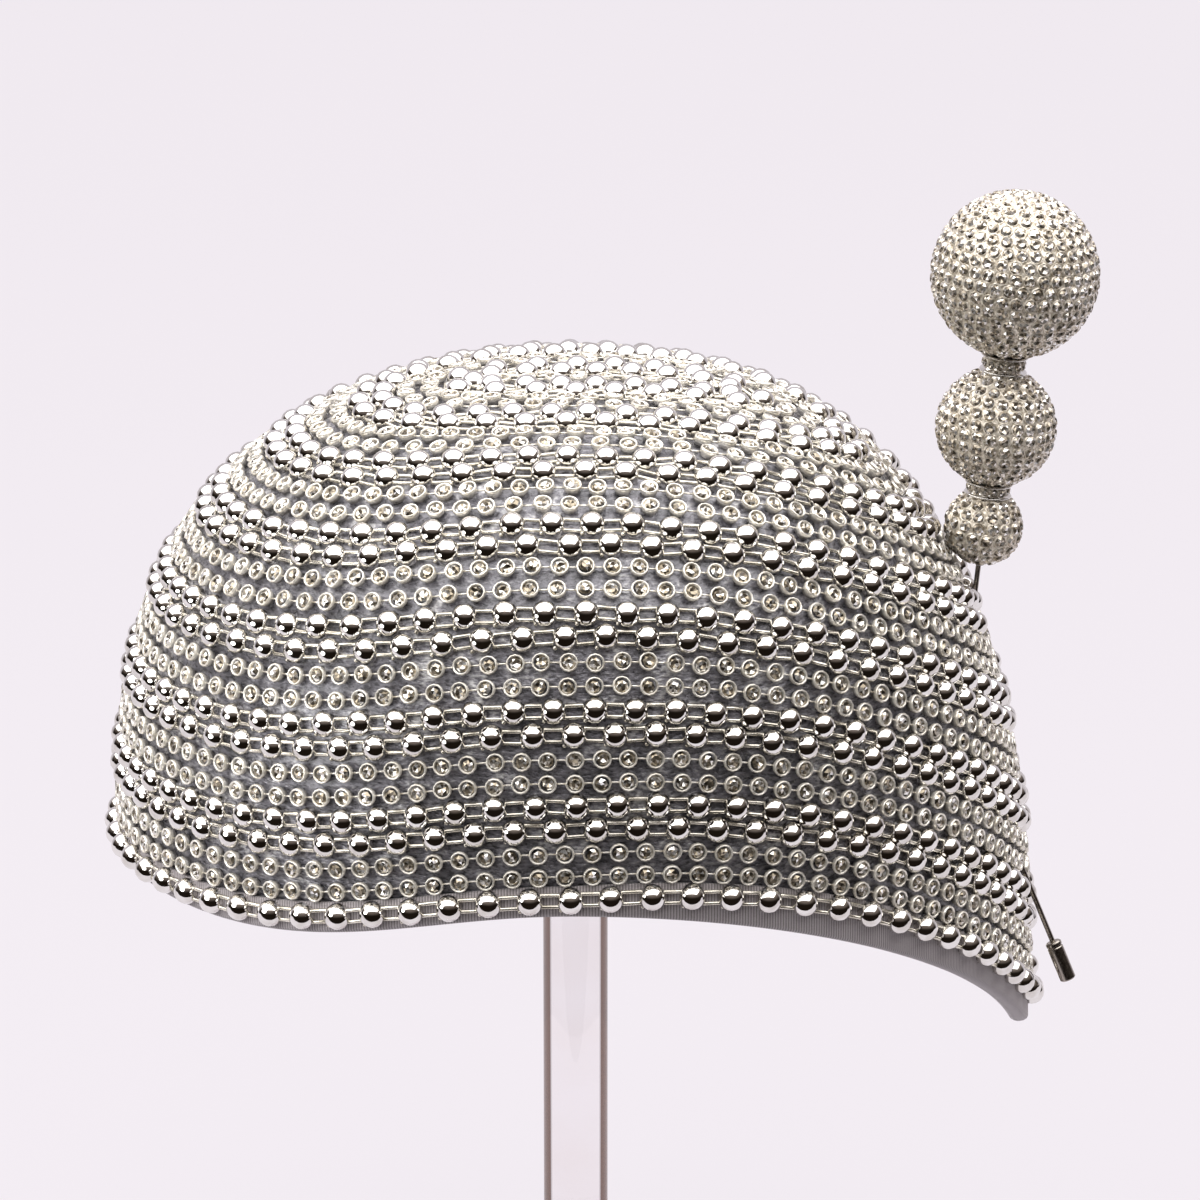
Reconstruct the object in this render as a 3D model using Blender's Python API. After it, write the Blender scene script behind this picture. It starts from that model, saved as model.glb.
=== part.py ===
"""Beaded evening hat with a hatpin, on a clear display stand.

The cap is a hollow felt dome, cut level at the back and down to a point at the front.
Trims are laid round it in loops that keep their distance from the edge, like an oval
rug: one row of balls at the edge, then bands of set stones and double rows of balls in
turn, up to a patch of stones along the ridge of the crown. The balls are half sunk, so
only their outer halves stand proud. Lengths are in metres, +X is
the pointed front and +Z is up. The origin is under the middle of the stand's base.
"""

import math

import bmesh
import bpy
import numpy as np
from mathutils import Vector
from mathutils.bvhtree import BVHTree

# Clearances
FIT_GAP = 0.0004
TRIM_GAP = 0.0003
REST_GAP = 0.0007
STAND_GAP = 0.0003
RONDELLE_GAP = 0.0003

# Cap
CAP_HALF_LENGTH = 0.1026
CAP_HALF_WIDTH = 0.0894
CAP_CENTRE_X = -0.0007
CAP_WALL = 0.0020
SIDE_DEPTH = 0.0939
PEAK_DROP = 0.0569
BACK_DROP = 0.0116
PEAK_FLARE = 0.0022
PEAK_ROUNDING_SHARE = 0.12
SIDE_ROUNDNESS_FACTOR = 2.90
FRONT_ROUNDNESS_FACTOR = 2.76
BACK_ROUNDNESS_FACTOR = 2.62
BACK_EVENNESS_FACTOR = 8.0
RIDGE_FRONT_SHARE = 0.29
RIDGE_BACK_SHARE = -0.15

# Edge binding, a folded ribbon
BINDING_WIDTH = 0.0060
BINDING_THICKNESS = 0.0008
PEAK_BINDING_EXTRA = 0.0042
PEAK_PINCH_FACTOR = 1.5

# Trims
BEAD_DIAMETER = 0.0055
BEAD_ROW_SPACING = 0.0050
BEAD_RISE = 0.0029
SETTING_DIAMETER = 0.0042
SETTING_HEIGHT = 0.0022
STONE_ROW_SPACING = 0.0049
CROWN_PATCH_HALF_WIDTH = 0.0031
TRIM_COUNT = 7

# Hatpin
PIN_WIRE_DIAMETER = 0.0012
LARGE_BALL_DIAMETER = 0.0381
MEDIUM_BALL_DIAMETER = 0.0275
SMALL_BALL_DIAMETER = 0.0181
RONDELLE_DIAMETER = 0.0110
UPPER_RONDELLE_HEIGHT = 0.0027
LOWER_RONDELLE_HEIGHT = 0.0007
RONDELLE_INNER_SHARE = 0.62
PIN_NECK = 0.0133
PIN_ENTRY_ANGLE = math.radians(0.0)
PIN_ENTRY_SHARE = 0.530
PIN_EXIT_ANGLE = math.radians(-8.8)
PIN_EXIT_SHARE = 0.2185
PIN_LEAN = math.radians(5.8)
TAIL_LEAN = math.radians(23.5)
TAIL_TURN = math.radians(-15.0)
TAIL_LENGTH = 0.0226
CLUTCH_DIAMETER = 0.0037
CLUTCH_LENGTH = 0.0096

# Display stand
CROWN_HEIGHT = 0.2406
BASE_DIAMETER = 0.1400
BASE_THICKNESS = 0.0120
BASE_BEVEL = 0.0015
POST_DIAMETER = 0.0150
REST_DIAMETER = 0.0560
REST_THICKNESS = 0.0050

# Mesh fineness
COLUMNS = 36
PATH_STEPS = 240
SLOPE_STEP_SHARE = 0.0005
EDGE_STEPS = 4
ROUTE_STEPS = 8
CHANNEL_SAMPLES = 12
BEAD_SIDES = 16
ROUND_SIDES = 48

# Section of the row of half balls at the edge: place across it, height above the ribbon
RIM_BEAD_SECTION = (
    {"across": 0.00, "lift": 0.00},
    {"across": 0.09, "lift": 0.58},
    {"across": 0.30, "lift": 0.93},
    {"across": 0.50, "lift": 1.00},
    {"across": 0.70, "lift": 0.93},
    {"across": 0.91, "lift": 0.58},
    {"across": 1.00, "lift": 0.00},
)

# Section of a double row of half balls: place across the trim, height above the felt
BEAD_TRIM_SECTION = (
    {"across": 0.00, "lift": 0.00},
    {"across": 0.10, "lift": 0.88},
    {"across": 0.36, "lift": 0.97},
    {"across": 0.50, "lift": 0.60},
    {"across": 0.64, "lift": 0.97},
    {"across": 0.90, "lift": 0.88},
    {"across": 1.00, "lift": 0.00},
)

# Section of a double row of set stones
STONE_TRIM_SECTION = (
    {"across": 0.00, "lift": 0.00},
    {"across": 0.04, "lift": 1.00},
    {"across": 0.96, "lift": 1.00},
    {"across": 1.00, "lift": 0.00},
)

SILVER = (0.78, 0.78, 0.80, 1.0)
CRYSTAL = (0.80, 0.78, 0.73, 1.0)
GREY_FELT = (0.30, 0.31, 0.34, 1.0)
GREY_RIBBON = (0.33, 0.33, 0.35, 1.0)
STEEL = (0.55, 0.53, 0.50, 1.0)
CLEAR = (0.90, 0.89, 0.91, 1.0)


# Shape of the cap

def rim_depth(angle):
    """Depth of the cap's edge below the crown, at an angle from the front point."""
    side = abs(math.sin(angle))
    if math.cos(angle) > 0.0:
        soft = math.hypot(side, PEAK_ROUNDING_SHARE) - PEAK_ROUNDING_SHARE
        soft /= math.hypot(1.0, PEAK_ROUNDING_SHARE) - PEAK_ROUNDING_SHARE
        return SIDE_DEPTH + PEAK_DROP * (1.0 - soft)
    return SIDE_DEPTH + BACK_DROP * (1.0 - side ** BACK_EVENNESS_FACTOR)


def cap_height(x, y):
    """Height of the felt's outer face over a point of the plan."""
    along = (x - CAP_CENTRE_X) / CAP_HALF_LENGTH
    across = y / CAP_HALF_WIDTH
    reach = min(math.hypot(along, across), 1.0)
    angle = math.atan2(across, along)
    end = FRONT_ROUNDNESS_FACTOR if along > 0.0 else BACK_ROUNDNESS_FACTOR
    power = SIDE_ROUNDNESS_FACTOR + (end - SIDE_ROUNDNESS_FACTOR) * math.cos(angle) ** 2
    fall = 1.0 - (1.0 - reach ** power) ** (1.0 / power)
    return CROWN_HEIGHT - rim_depth(angle) * fall


def ridge_place(angle):
    """X of the ridge point that the trims run up to from an angle of the edge."""
    turn = math.cos(angle)
    share = turn * (3.0 - turn * turn) / 2.0
    middle = (RIDGE_FRONT_SHARE + RIDGE_BACK_SHARE) / 2.0
    half = (RIDGE_FRONT_SHARE - RIDGE_BACK_SHARE) / 2.0
    return CAP_CENTRE_X + CAP_HALF_LENGTH * (middle + half * share)


def cap_point(angle, run):
    """Point of the felt's outer face, run 0 at the edge and 1 at the ridge."""
    edge_x = CAP_CENTRE_X + CAP_HALF_LENGTH * math.cos(angle)
    edge_y = CAP_HALF_WIDTH * math.sin(angle)
    x = edge_x + (ridge_place(angle) - edge_x) * run
    y = edge_y * (1.0 - run)
    z = cap_height(x, y)
    forward = max(0.0, (x - CAP_CENTRE_X) / CAP_HALF_LENGTH)
    depth_share = (CROWN_HEIGHT - z) / (SIDE_DEPTH + PEAK_DROP)
    return Vector((x + PEAK_FLARE * forward ** 2 * depth_share ** 2, y, z))


class Column:
    """One line up the cap, from the edge to the ridge, measured by its length."""

    def __init__(self, angle):
        near = SLOPE_STEP_SHARE
        points = []
        normals = []
        for step in range(PATH_STEPS):
            run = 1.0 - math.cos(math.pi / 2.0 * step / PATH_STEPS)
            point = cap_point(angle, run)
            beside = cap_point(angle + near, run) - cap_point(angle - near, run)
            above = cap_point(angle, run + near) - point
            points.append(point)
            normals.append(beside.cross(above).normalized())
        steps = [(b - a).length for a, b in zip(points, points[1:])]
        last = (cap_point(angle, 1.0) - points[-1]).length
        self.distances = np.concatenate([[0.0], np.cumsum(steps)])
        self.length = float(self.distances[-1]) + last
        forward = max(0.0, math.cos(angle))
        self.lead = PEAK_BINDING_EXTRA * forward * (2.0 - PEAK_PINCH_FACTOR * forward ** 2)
        self.edge = points[0]
        self.down = (points[0] - points[EDGE_STEPS]).normalized()
        self.table = np.array([[*point, *normal] for point, normal in zip(points, normals)])

    def place(self, distance, lift):
        """Point at a distance up from the edge and a height above the felt."""
        row = [float(np.interp(distance, self.distances, values)) for values in self.table.T]
        point, normal = Vector(row[:3]), Vector(row[3:]).normalized()
        if distance < 0.0:
            point = self.edge - self.down * distance
        return point + normal * lift


COLUMN_LINES = [Column(2.0 * math.pi * i / COLUMNS) for i in range(COLUMNS)]
SIDE_LENGTH = Column(math.pi / 2.0).length


def ring_points(distance, lift):
    """Loop of points round the cap, at a distance up from the edge at the sides.

    The ribbon shows wider on both sides of the front point, so the loops start higher
    there.
    """
    ring = []
    for column in COLUMN_LINES:
        spread = (column.length - column.lead) / SIDE_LENGTH
        lead = column.lead if distance > 0.0 else 0.0
        ring.append(column.place(lead + distance * spread, lift))
    return ring


# Layout of the trims, as distances up from the edge at the sides. The trims are spread
# so that the bands just reach the patch of stones on the crown.

CLOSE_BEAD_WIDTH = BEAD_DIAMETER + BEAD_ROW_SPACING
CLOSE_STONE_WIDTH = SETTING_DIAMETER + STONE_ROW_SPACING
FIRST_TRIM_START = BINDING_WIDTH + TRIM_GAP
RIM_BEADS_START = FIRST_TRIM_START - TRIM_GAP - BEAD_DIAMETER
RIM_BEADS_LIFT = 2.0 * FIT_GAP + BINDING_THICKNESS
CROWN_PATCH_START = SIDE_LENGTH - CROWN_PATCH_HALF_WIDTH
TRIM_PERIOD = (CROWN_PATCH_START - FIRST_TRIM_START) / TRIM_COUNT
TRIM_SPREAD = (TRIM_PERIOD - 2.0 * TRIM_GAP) / (CLOSE_BEAD_WIDTH + CLOSE_STONE_WIDTH)
BEAD_TRIM_WIDTH = CLOSE_BEAD_WIDTH * TRIM_SPREAD
STONE_TRIM_WIDTH = CLOSE_STONE_WIDTH * TRIM_SPREAD


def stone_trim_start(index):
    """Distance from the edge at which a band of stones starts."""
    return FIRST_TRIM_START + index * TRIM_PERIOD


def bead_trim_start(index):
    """Distance from the edge at which a double row of balls starts."""
    return stone_trim_start(index) + STONE_TRIM_WIDTH + TRIM_GAP


# Mesh helpers

def clear_scene():
    """Remove every object of the open file."""
    for old in list(bpy.data.objects):
        bpy.data.objects.remove(old, do_unlink=True)


def finish(name, colour, roughness, metallic):
    """Plain material with a part's colour and gloss."""
    material = bpy.data.materials.new(name)
    material.use_nodes = True
    shader = material.node_tree.nodes["Principled BSDF"]
    shader.inputs["Base Color"].default_value = colour
    shader.inputs["Roughness"].default_value = roughness
    shader.inputs["Metallic"].default_value = metallic
    return material


def make_object(name, bm, material):
    """Turn a bmesh into a named object with its faces outward."""
    bmesh.ops.recalc_face_normals(bm, faces=bm.faces)
    mesh = bpy.data.meshes.new(name)
    bm.to_mesh(mesh)
    bm.free()
    mesh.materials.append(material)
    mesh.shade_smooth()
    mesh.set_sharp_from_angle(angle=math.radians(40.0))
    thing = bpy.data.objects.new(name, mesh)
    bpy.context.scene.collection.objects.link(thing)
    return thing


def bridge(bm, first, second):
    """Faces between two closed loops of as many vertices."""
    for i in range(len(first)):
        j = (i + 1) % len(first)
        bm.faces.new((first[i], first[j], second[j], second[i]))


def fan(bm, ring, tip):
    """Triangles from a loop to one point."""
    for i in range(len(ring)):
        bm.faces.new((ring[i], ring[(i + 1) % len(ring)], tip))


def close_crown(bm, ring, lift):
    """Fill a loop near the ridge with a row of points along its middle."""
    half = len(ring) // 2
    middle = []
    for i in range(1, half):
        x = (ring[i].co.x + ring[-i].co.x) / 2.0
        middle.append(bm.verts.new((x, 0.0, cap_height(x, 0.0) + lift)))
    for side in (1, -1):
        for i in range(1, half - 1):
            bm.faces.new((ring[side * i], ring[side * (i + 1)], middle[i], middle[i - 1]))
        bm.faces.new((ring[0], ring[side], middle[0]))
        bm.faces.new((ring[half], ring[side * (half - 1)], middle[-1]))


def loop_solid(name, section, material):
    """Closed loop round the cap: section rows are distance and lift pairs."""
    bm = bmesh.new()
    rings = [[bm.verts.new(p) for p in ring_points(*row)] for row in section]
    for first, second in zip(rings, rings[1:] + rings[:1]):
        bridge(bm, first, second)
    return make_object(name, bm, material)


def turned_solid(name, profile, axis_point, axis, sides, material):
    """Solid of revolution: profile rows are radius and height along the axis."""
    bm = bmesh.new()
    verts = [bm.verts.new((radius, 0.0, height)) for radius, height in profile]
    edges = [bm.edges.new(pair) for pair in zip(verts, verts[1:])]
    if profile[0][0] > 0.0 and profile[-1][0] > 0.0:
        edges.append(bm.edges.new((verts[-1], verts[0])))
    bmesh.ops.spin(bm, geom=verts + edges, cent=(0, 0, 0), axis=(0, 0, 1),
                   angle=2.0 * math.pi, steps=sides, use_merge=True)
    bmesh.ops.remove_doubles(bm, verts=bm.verts, dist=0.000001)
    turn = Vector((0, 0, 1)).rotation_difference(axis)
    bmesh.ops.rotate(bm, verts=bm.verts, cent=(0, 0, 0), matrix=turn.to_matrix())
    bmesh.ops.translate(bm, verts=bm.verts, vec=axis_point)
    return make_object(name, bm, material)


def tube(name, points, diameter, cyclic, material):
    """Round tube along a chain of points, with filled ends."""
    curve = bpy.data.curves.new(name, "CURVE")
    curve.dimensions = "3D"
    curve.bevel_depth = diameter / 2.0
    curve.bevel_resolution = 2
    curve.use_fill_caps = True
    spline = curve.splines.new("POLY")
    spline.points.add(len(points) - 1)
    for target, point in zip(spline.points, points):
        target.co = (*point, 1.0)
    spline.use_cyclic_u = cyclic
    spline.use_smooth = True
    curve.materials.append(material)
    thing = bpy.data.objects.new(name, curve)
    bpy.context.scene.collection.objects.link(thing)
    return thing


# Hat

def make_cap_shell(material):
    """Hollow felt dome, its facets bordered where the trims are."""
    levels = [0.0]
    for index in range(TRIM_COUNT):
        levels.append(stone_trim_start(index) - TRIM_GAP / 2.0)
        levels.append(bead_trim_start(index) - TRIM_GAP / 2.0)
    levels.append(CROWN_PATCH_START - TRIM_GAP / 2.0)
    bm = bmesh.new()
    rings = [[bm.verts.new(p) for p in ring_points(level, 0.0)] for level in levels]
    for first, second in zip(rings, rings[1:]):
        bridge(bm, first, second)
    close_crown(bm, rings[-1], 0.0)
    shell = make_object("cap_shell", bm, material)
    wall = shell.modifiers.new("wall", "SOLIDIFY")
    wall.thickness = CAP_WALL
    wall.offset = -1.0
    wall.use_even_offset = True
    return shell


def make_edge_binding(material):
    """Ribbon folded round the edge, outside and inside."""
    near = FIT_GAP
    far = FIT_GAP + BINDING_THICKNESS
    inner_near = -CAP_WALL - near
    inner_far = -CAP_WALL - far
    section = (
        (BINDING_WIDTH, near),
        (BINDING_WIDTH, far),
        (-far, far),
        (-far, inner_far),
        (BINDING_WIDTH, inner_far),
        (BINDING_WIDTH, inner_near),
        (-near, inner_near),
        (-near, near),
    )
    return loop_solid("edge_binding", section, material)


def make_trims(silver, crystal):
    """Rim beads, bands of stones, double rows of balls and the crown patch."""
    section = [(RIM_BEADS_START + row["across"] * BEAD_DIAMETER,
                RIM_BEADS_LIFT + row["lift"] * BEAD_RISE) for row in RIM_BEAD_SECTION]
    trims = [loop_solid("rim_beads", section, silver)]
    for index in range(TRIM_COUNT):
        start = stone_trim_start(index)
        section = [(start + row["across"] * STONE_TRIM_WIDTH,
                    FIT_GAP + row["lift"] * SETTING_HEIGHT) for row in STONE_TRIM_SECTION]
        trims.append(loop_solid(f"stone_trim_{index + 1}", section, crystal))
        start = bead_trim_start(index)
        section = [(start + row["across"] * BEAD_TRIM_WIDTH,
                    FIT_GAP + row["lift"] * BEAD_RISE) for row in BEAD_TRIM_SECTION]
        trims.append(loop_solid(f"bead_trim_{index + 1}", section, silver))
    trims.append(make_crown_patch(crystal))
    return trims


def make_crown_patch(material):
    """Patch of stones that fills the innermost loop, along the ridge."""
    bm = bmesh.new()
    lifts = (FIT_GAP, FIT_GAP + SETTING_HEIGHT)
    rings = [[bm.verts.new(p) for p in ring_points(CROWN_PATCH_START, lift)] for lift in lifts]
    bridge(bm, *rings)
    for ring, lift in zip(rings, lifts):
        close_crown(bm, ring, lift)
    return make_object("crown_stones", bm, material)


# Hatpin

def pin_direction(lean, turn):
    """Direction of travel down the pin, leaning from the vertical in a turned plane."""
    return Vector((math.sin(lean) * math.cos(turn), math.sin(lean) * math.sin(turn),
                   -math.cos(lean)))


DOWN_PIN = pin_direction(-PIN_LEAN, 0.0)
DOWN_TAIL = pin_direction(TAIL_LEAN, TAIL_TURN)


def on_front(angle, share):
    """Point of the felt at a share of the way from the edge to the ridge."""
    column = Column(angle)
    return column.place(share * column.length, 0.0)


PIN_ENTRY = on_front(PIN_ENTRY_ANGLE, PIN_ENTRY_SHARE)
PIN_EXIT = on_front(PIN_EXIT_ANGLE, PIN_EXIT_SHARE)
SMALL_CENTRE = PIN_ENTRY - DOWN_PIN * (PIN_NECK + SMALL_BALL_DIAMETER / 2.0)
SMALL_TO_MEDIUM = (SMALL_BALL_DIAMETER + MEDIUM_BALL_DIAMETER) / 2.0 + LOWER_RONDELLE_HEIGHT
MEDIUM_TO_LARGE = (MEDIUM_BALL_DIAMETER + LARGE_BALL_DIAMETER) / 2.0 + UPPER_RONDELLE_HEIGHT
MEDIUM_CENTRE = SMALL_CENTRE - DOWN_PIN * SMALL_TO_MEDIUM
LARGE_CENTRE = MEDIUM_CENTRE - DOWN_PIN * MEDIUM_TO_LARGE
BORE_RADIUS = PIN_WIRE_DIAMETER / 2.0 + FIT_GAP


def pin_route(top):
    """Route of the wire: straight through the balls, bowed under the felt, straight out."""
    span = (PIN_EXIT - PIN_ENTRY).length
    points = [top, PIN_ENTRY - DOWN_PIN * PIN_NECK]
    for step in range(ROUTE_STEPS + 1):
        share = step / ROUTE_STEPS
        start = (1 - share) ** 2 * (1 + 2 * share)
        end = share ** 2 * (3 - 2 * share)
        leave = share * (1 - share) ** 2 * span
        arrive = -share ** 2 * (1 - share) * span
        points.append(PIN_ENTRY * start + PIN_EXIT * end + DOWN_PIN * leave + DOWN_TAIL * arrive)
    points.append(PIN_EXIT + DOWN_TAIL * (TAIL_LENGTH + CLUTCH_LENGTH / 2.0))
    return points


def make_ball(name, centre, diameter, blind, material):
    """Ball turned round the pin, bored through or with a blind hole from below."""
    radius = diameter / 2.0
    bore_angle = math.asin(BORE_RADIUS / radius)
    rows = BEAD_SIDES // 2
    low, high = math.pi - bore_angle, bore_angle
    if blind:
        high = 0.0
    profile = []
    for row in range(rows + 1):
        polar = low + (high - low) * row / rows
        profile.append((radius * math.sin(polar) if polar > 0.0 else 0.0, radius * math.cos(polar)))
    if blind:
        profile = [(0.0, 0.0), (BORE_RADIUS, 0.0)] + profile
    return turned_solid(name, profile, centre, -DOWN_PIN, BEAD_SIDES, material)


def make_rondelle(name, low_centre, low_radius, high_centre, high_radius, material):
    """Ring between two balls, its faces hollowed to sit against them."""
    radius = RONDELLE_DIAMETER / 2.0
    spacing = (high_centre - low_centre).length
    inner = radius * RONDELLE_INNER_SHARE
    outline = []
    for reach in (inner, radius):
        outline.append((reach, math.sqrt(low_radius ** 2 - reach ** 2) + RONDELLE_GAP))
    for reach in (radius, inner):
        outline.append((reach, spacing - math.sqrt(high_radius ** 2 - reach ** 2) - RONDELLE_GAP))
    return turned_solid(name, outline, low_centre, -DOWN_PIN, BEAD_SIDES, material)


def make_hatpin(crystal, silver, steel):
    """Balls, rondelles, wire and the clutch on its point."""
    small_radius = SMALL_BALL_DIAMETER / 2.0
    medium_radius = MEDIUM_BALL_DIAMETER / 2.0
    large_radius = LARGE_BALL_DIAMETER / 2.0
    make_ball("pin_ball_large", LARGE_CENTRE, LARGE_BALL_DIAMETER, True, crystal)
    make_ball("pin_ball_medium", MEDIUM_CENTRE, MEDIUM_BALL_DIAMETER, False, crystal)
    make_ball("pin_ball_small", SMALL_CENTRE, SMALL_BALL_DIAMETER, False, crystal)
    make_rondelle("pin_rondelle_lower", SMALL_CENTRE, small_radius,
                  MEDIUM_CENTRE, medium_radius, silver)
    make_rondelle("pin_rondelle_upper", MEDIUM_CENTRE, medium_radius,
                  LARGE_CENTRE, large_radius, silver)
    route = pin_route(LARGE_CENTRE + DOWN_PIN * FIT_GAP)
    tube("pin_wire", route, PIN_WIRE_DIAMETER, False, steel)
    clutch_top = PIN_EXIT + DOWN_TAIL * TAIL_LENGTH
    outer = CLUTCH_DIAMETER / 2.0
    depth = CLUTCH_LENGTH / 2.0 + FIT_GAP
    profile = ((0.0, depth), (BORE_RADIUS, depth), (BORE_RADIUS, 0.0), (outer, 0.0),
               (outer, CLUTCH_LENGTH), (0.0, CLUTCH_LENGTH))
    turned_solid("pin_clutch", profile, clutch_top, DOWN_TAIL, BEAD_SIDES, steel)


def cut_pin_channel(pieces):
    """Clear the wire's way through the felt and the trims that it meets."""
    top = PIN_ENTRY - DOWN_PIN * PIN_NECK
    route = pin_route(top)[1:]
    channel = tube("channel_line", route, 2.0 * BORE_RADIUS, False, None)
    graph = bpy.context.evaluated_depsgraph_get()
    mesh = bpy.data.meshes.new_from_object(channel.evaluated_get(graph))
    bpy.data.objects.remove(channel, do_unlink=True)
    cutter = bpy.data.objects.new("pin_channel", mesh)
    bpy.context.scene.collection.objects.link(cutter)
    cutter.hide_render = True
    cutter.display_type = "WIRE"
    graph = bpy.context.evaluated_depsgraph_get()
    shares = [k / CHANNEL_SAMPLES for k in range(CHANNEL_SAMPLES)]
    samples = [a.lerp(b, share) for a, b in zip(route, route[1:]) for share in shares]
    for piece in pieces:
        tree = BVHTree.FromObject(piece, graph)
        nearest = min(tree.find_nearest(point)[3] for point in samples)
        if nearest < 2.0 * BORE_RADIUS:
            cut = piece.modifiers.new("pin_channel", "BOOLEAN")
            cut.operation = "DIFFERENCE"
            cut.object = cutter


# Display stand

REST_TOP = CROWN_HEIGHT - CAP_WALL - REST_GAP
REST_LOW = REST_TOP - REST_THICKNESS


def make_stand(material):
    """Round base and the rod that holds the hat up."""
    radius = BASE_DIAMETER / 2.0
    top = BASE_THICKNESS
    base = ((0.0, 0.0), (radius - BASE_BEVEL, 0.0), (radius, BASE_BEVEL),
            (radius, top - BASE_BEVEL), (radius - BASE_BEVEL, top), (0.0, top))
    up = Vector((0, 0, 1))
    turned_solid("stand_base", base, Vector(), up, ROUND_SIDES, material)
    radius = POST_DIAMETER / 2.0
    low = BASE_THICKNESS + STAND_GAP
    high = REST_LOW - STAND_GAP
    post = ((0.0, low), (radius, low), (radius, high), (0.0, high))
    turned_solid("stand_post", post, Vector(), up, ROUND_SIDES // 2, material)


def make_hat_rest(material):
    """Pad on the rod, its top shaped to the inside of the crown."""
    bm = bmesh.new()
    sides = ROUND_SIDES // 2
    loops = []
    for share, on_felt in ((0.5, True), (1.0, True), (1.0, False)):
        reach = share * REST_DIAMETER / 2.0
        loop = []
        for i in range(sides):
            angle = 2.0 * math.pi * i / sides
            x = reach * math.cos(angle)
            y = reach * math.sin(angle)
            z = cap_height(x, y) - CAP_WALL - REST_GAP if on_felt else REST_LOW
            loop.append(bm.verts.new((x, y, z)))
        loops.append(loop)
    for first, second in zip(loops, loops[1:]):
        bridge(bm, first, second)
    fan(bm, loops[0], bm.verts.new((0.0, 0.0, REST_TOP)))
    bm.faces.new(loops[-1])
    make_object("hat_rest", bm, material)


def main():
    """Build the hat, the pin and the stand."""
    clear_scene()
    silver = finish("silver_balls", SILVER, 0.12, 1.0)
    crystal = finish("set_crystal", CRYSTAL, 0.20, 0.6)
    felt = finish("grey_felt", GREY_FELT, 0.70, 0.0)
    ribbon = finish("grey_ribbon", GREY_RIBBON, 0.75, 0.0)
    steel = finish("pin_steel", STEEL, 0.30, 1.0)
    clear = finish("clear_acrylic", CLEAR, 0.08, 0.0)
    shell = make_cap_shell(felt)
    make_edge_binding(ribbon)
    trims = make_trims(silver, crystal)
    make_hatpin(crystal, silver, steel)
    cut_pin_channel([shell] + trims)
    make_stand(clear)
    make_hat_rest(clear)


main()
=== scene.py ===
"""Beaded evening hat with a hatpin on a clear stand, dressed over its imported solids.

The cap's curves and the layout of its trims repeat the sizes of the solids, in metres.
+X is the pointed front, +Z is up and -Y faces the camera.
"""

import logging
import math
from dataclasses import dataclass, replace
from enum import Enum

import bmesh
import bpy
import numpy as np
from mathutils import Matrix, Vector


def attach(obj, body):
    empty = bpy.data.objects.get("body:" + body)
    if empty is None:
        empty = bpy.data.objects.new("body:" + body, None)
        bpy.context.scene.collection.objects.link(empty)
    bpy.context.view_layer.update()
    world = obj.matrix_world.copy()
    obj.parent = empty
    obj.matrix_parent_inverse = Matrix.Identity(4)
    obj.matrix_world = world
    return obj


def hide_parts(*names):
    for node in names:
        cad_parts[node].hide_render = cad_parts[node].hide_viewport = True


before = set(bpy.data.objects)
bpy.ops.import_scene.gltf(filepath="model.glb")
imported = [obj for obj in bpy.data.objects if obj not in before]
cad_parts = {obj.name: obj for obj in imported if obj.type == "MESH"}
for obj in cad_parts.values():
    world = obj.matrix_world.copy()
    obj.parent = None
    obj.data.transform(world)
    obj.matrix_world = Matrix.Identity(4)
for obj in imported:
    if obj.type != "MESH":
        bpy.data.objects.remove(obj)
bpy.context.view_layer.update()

LOG = logging.getLogger("hat")
BODY = "root"
PAINTED_FACET_LIGHT = "painted_facet_light"  # attribute: each face's random painted light, which paints glints and dark facets on the stones
RIB = "rib"  # attribute: 1 on a rib of the ribbon, 0 in a valley, which gets painted shade
PALE = "#eee8ee"  # colour of the table and of the background
PIN_SEED, BALL_SEED, STONE_SEED = 11, 23, 37  # of the small irregularities of handwork
FULL_TURN = 2.0 * math.pi
ANY_WAY = 180.0  # degrees either way, so that a shape may be turned at random
MERGE = 0.000002  # points closer than this are one
EDGE_STEP = 4  # the step of a line that shows which way it runs at the edge
BESIDE = 0.002  # radians to the neighbours that give a row its direction
# Points of the rim round a stone: share of the stone's radius, height above its girdle.
COLLAR = ((1.26, -0.00025), (1.16, 0.0001), (0.98, 0.00005), (0.95, -0.00025))

Point = tuple[float, float, float]
Span = tuple[float, float]
Stops = tuple[tuple[float, str], ...]
Constants = tuple[tuple[str, object], ...]


class Slot(Enum):
    """Material slots of the record."""

    FELT = "grey_felt"
    RIBBON = "grey_ribbon"
    BALLS = "silver_balls"
    STONES = "set_crystal"
    PAVE = "pave_crystal"
    STEEL = "pin_steel"
    ACRYLIC = "clear_acrylic"


def linear(colour: str) -> tuple[float, float, float, float]:
    """Turn a screen colour into the linear one that shaders take.

    Args:
        colour: the colour as a hash sign and six hex digits.

    Returns:
        Red, green, blue and an alpha of 1.
    """
    shares = [int(colour[i:i + 2], 16) / 255.0 for i in (1, 3, 5)]
    red, green, blue = (s / 12.92 if s <= 0.04045 else ((s + 0.055) / 1.055) ** 2.4
                        for s in shares)
    return red, green, blue, 1.0


def add_node(tree: bpy.types.NodeTree, kind: str, inputs: dict | None = None,
             **settings: object) -> bpy.types.Node:
    """Add a node, with its settings and its sockets filled.

    Args:
        tree: the node tree that gets it.
        kind: the node's type.
        inputs: a value or another node's socket for each of its sockets.
        settings: the node's own properties.

    Returns:
        The new node.
    """
    node = tree.nodes.new(kind)
    for name, value in settings.items():
        setattr(node, name, value)
    for name, value in (inputs or {}).items():
        if isinstance(value, bpy.types.NodeSocket):
            tree.links.new(value, node.inputs[name])
        else:
            node.inputs[name].default_value = value
    return node


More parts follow.
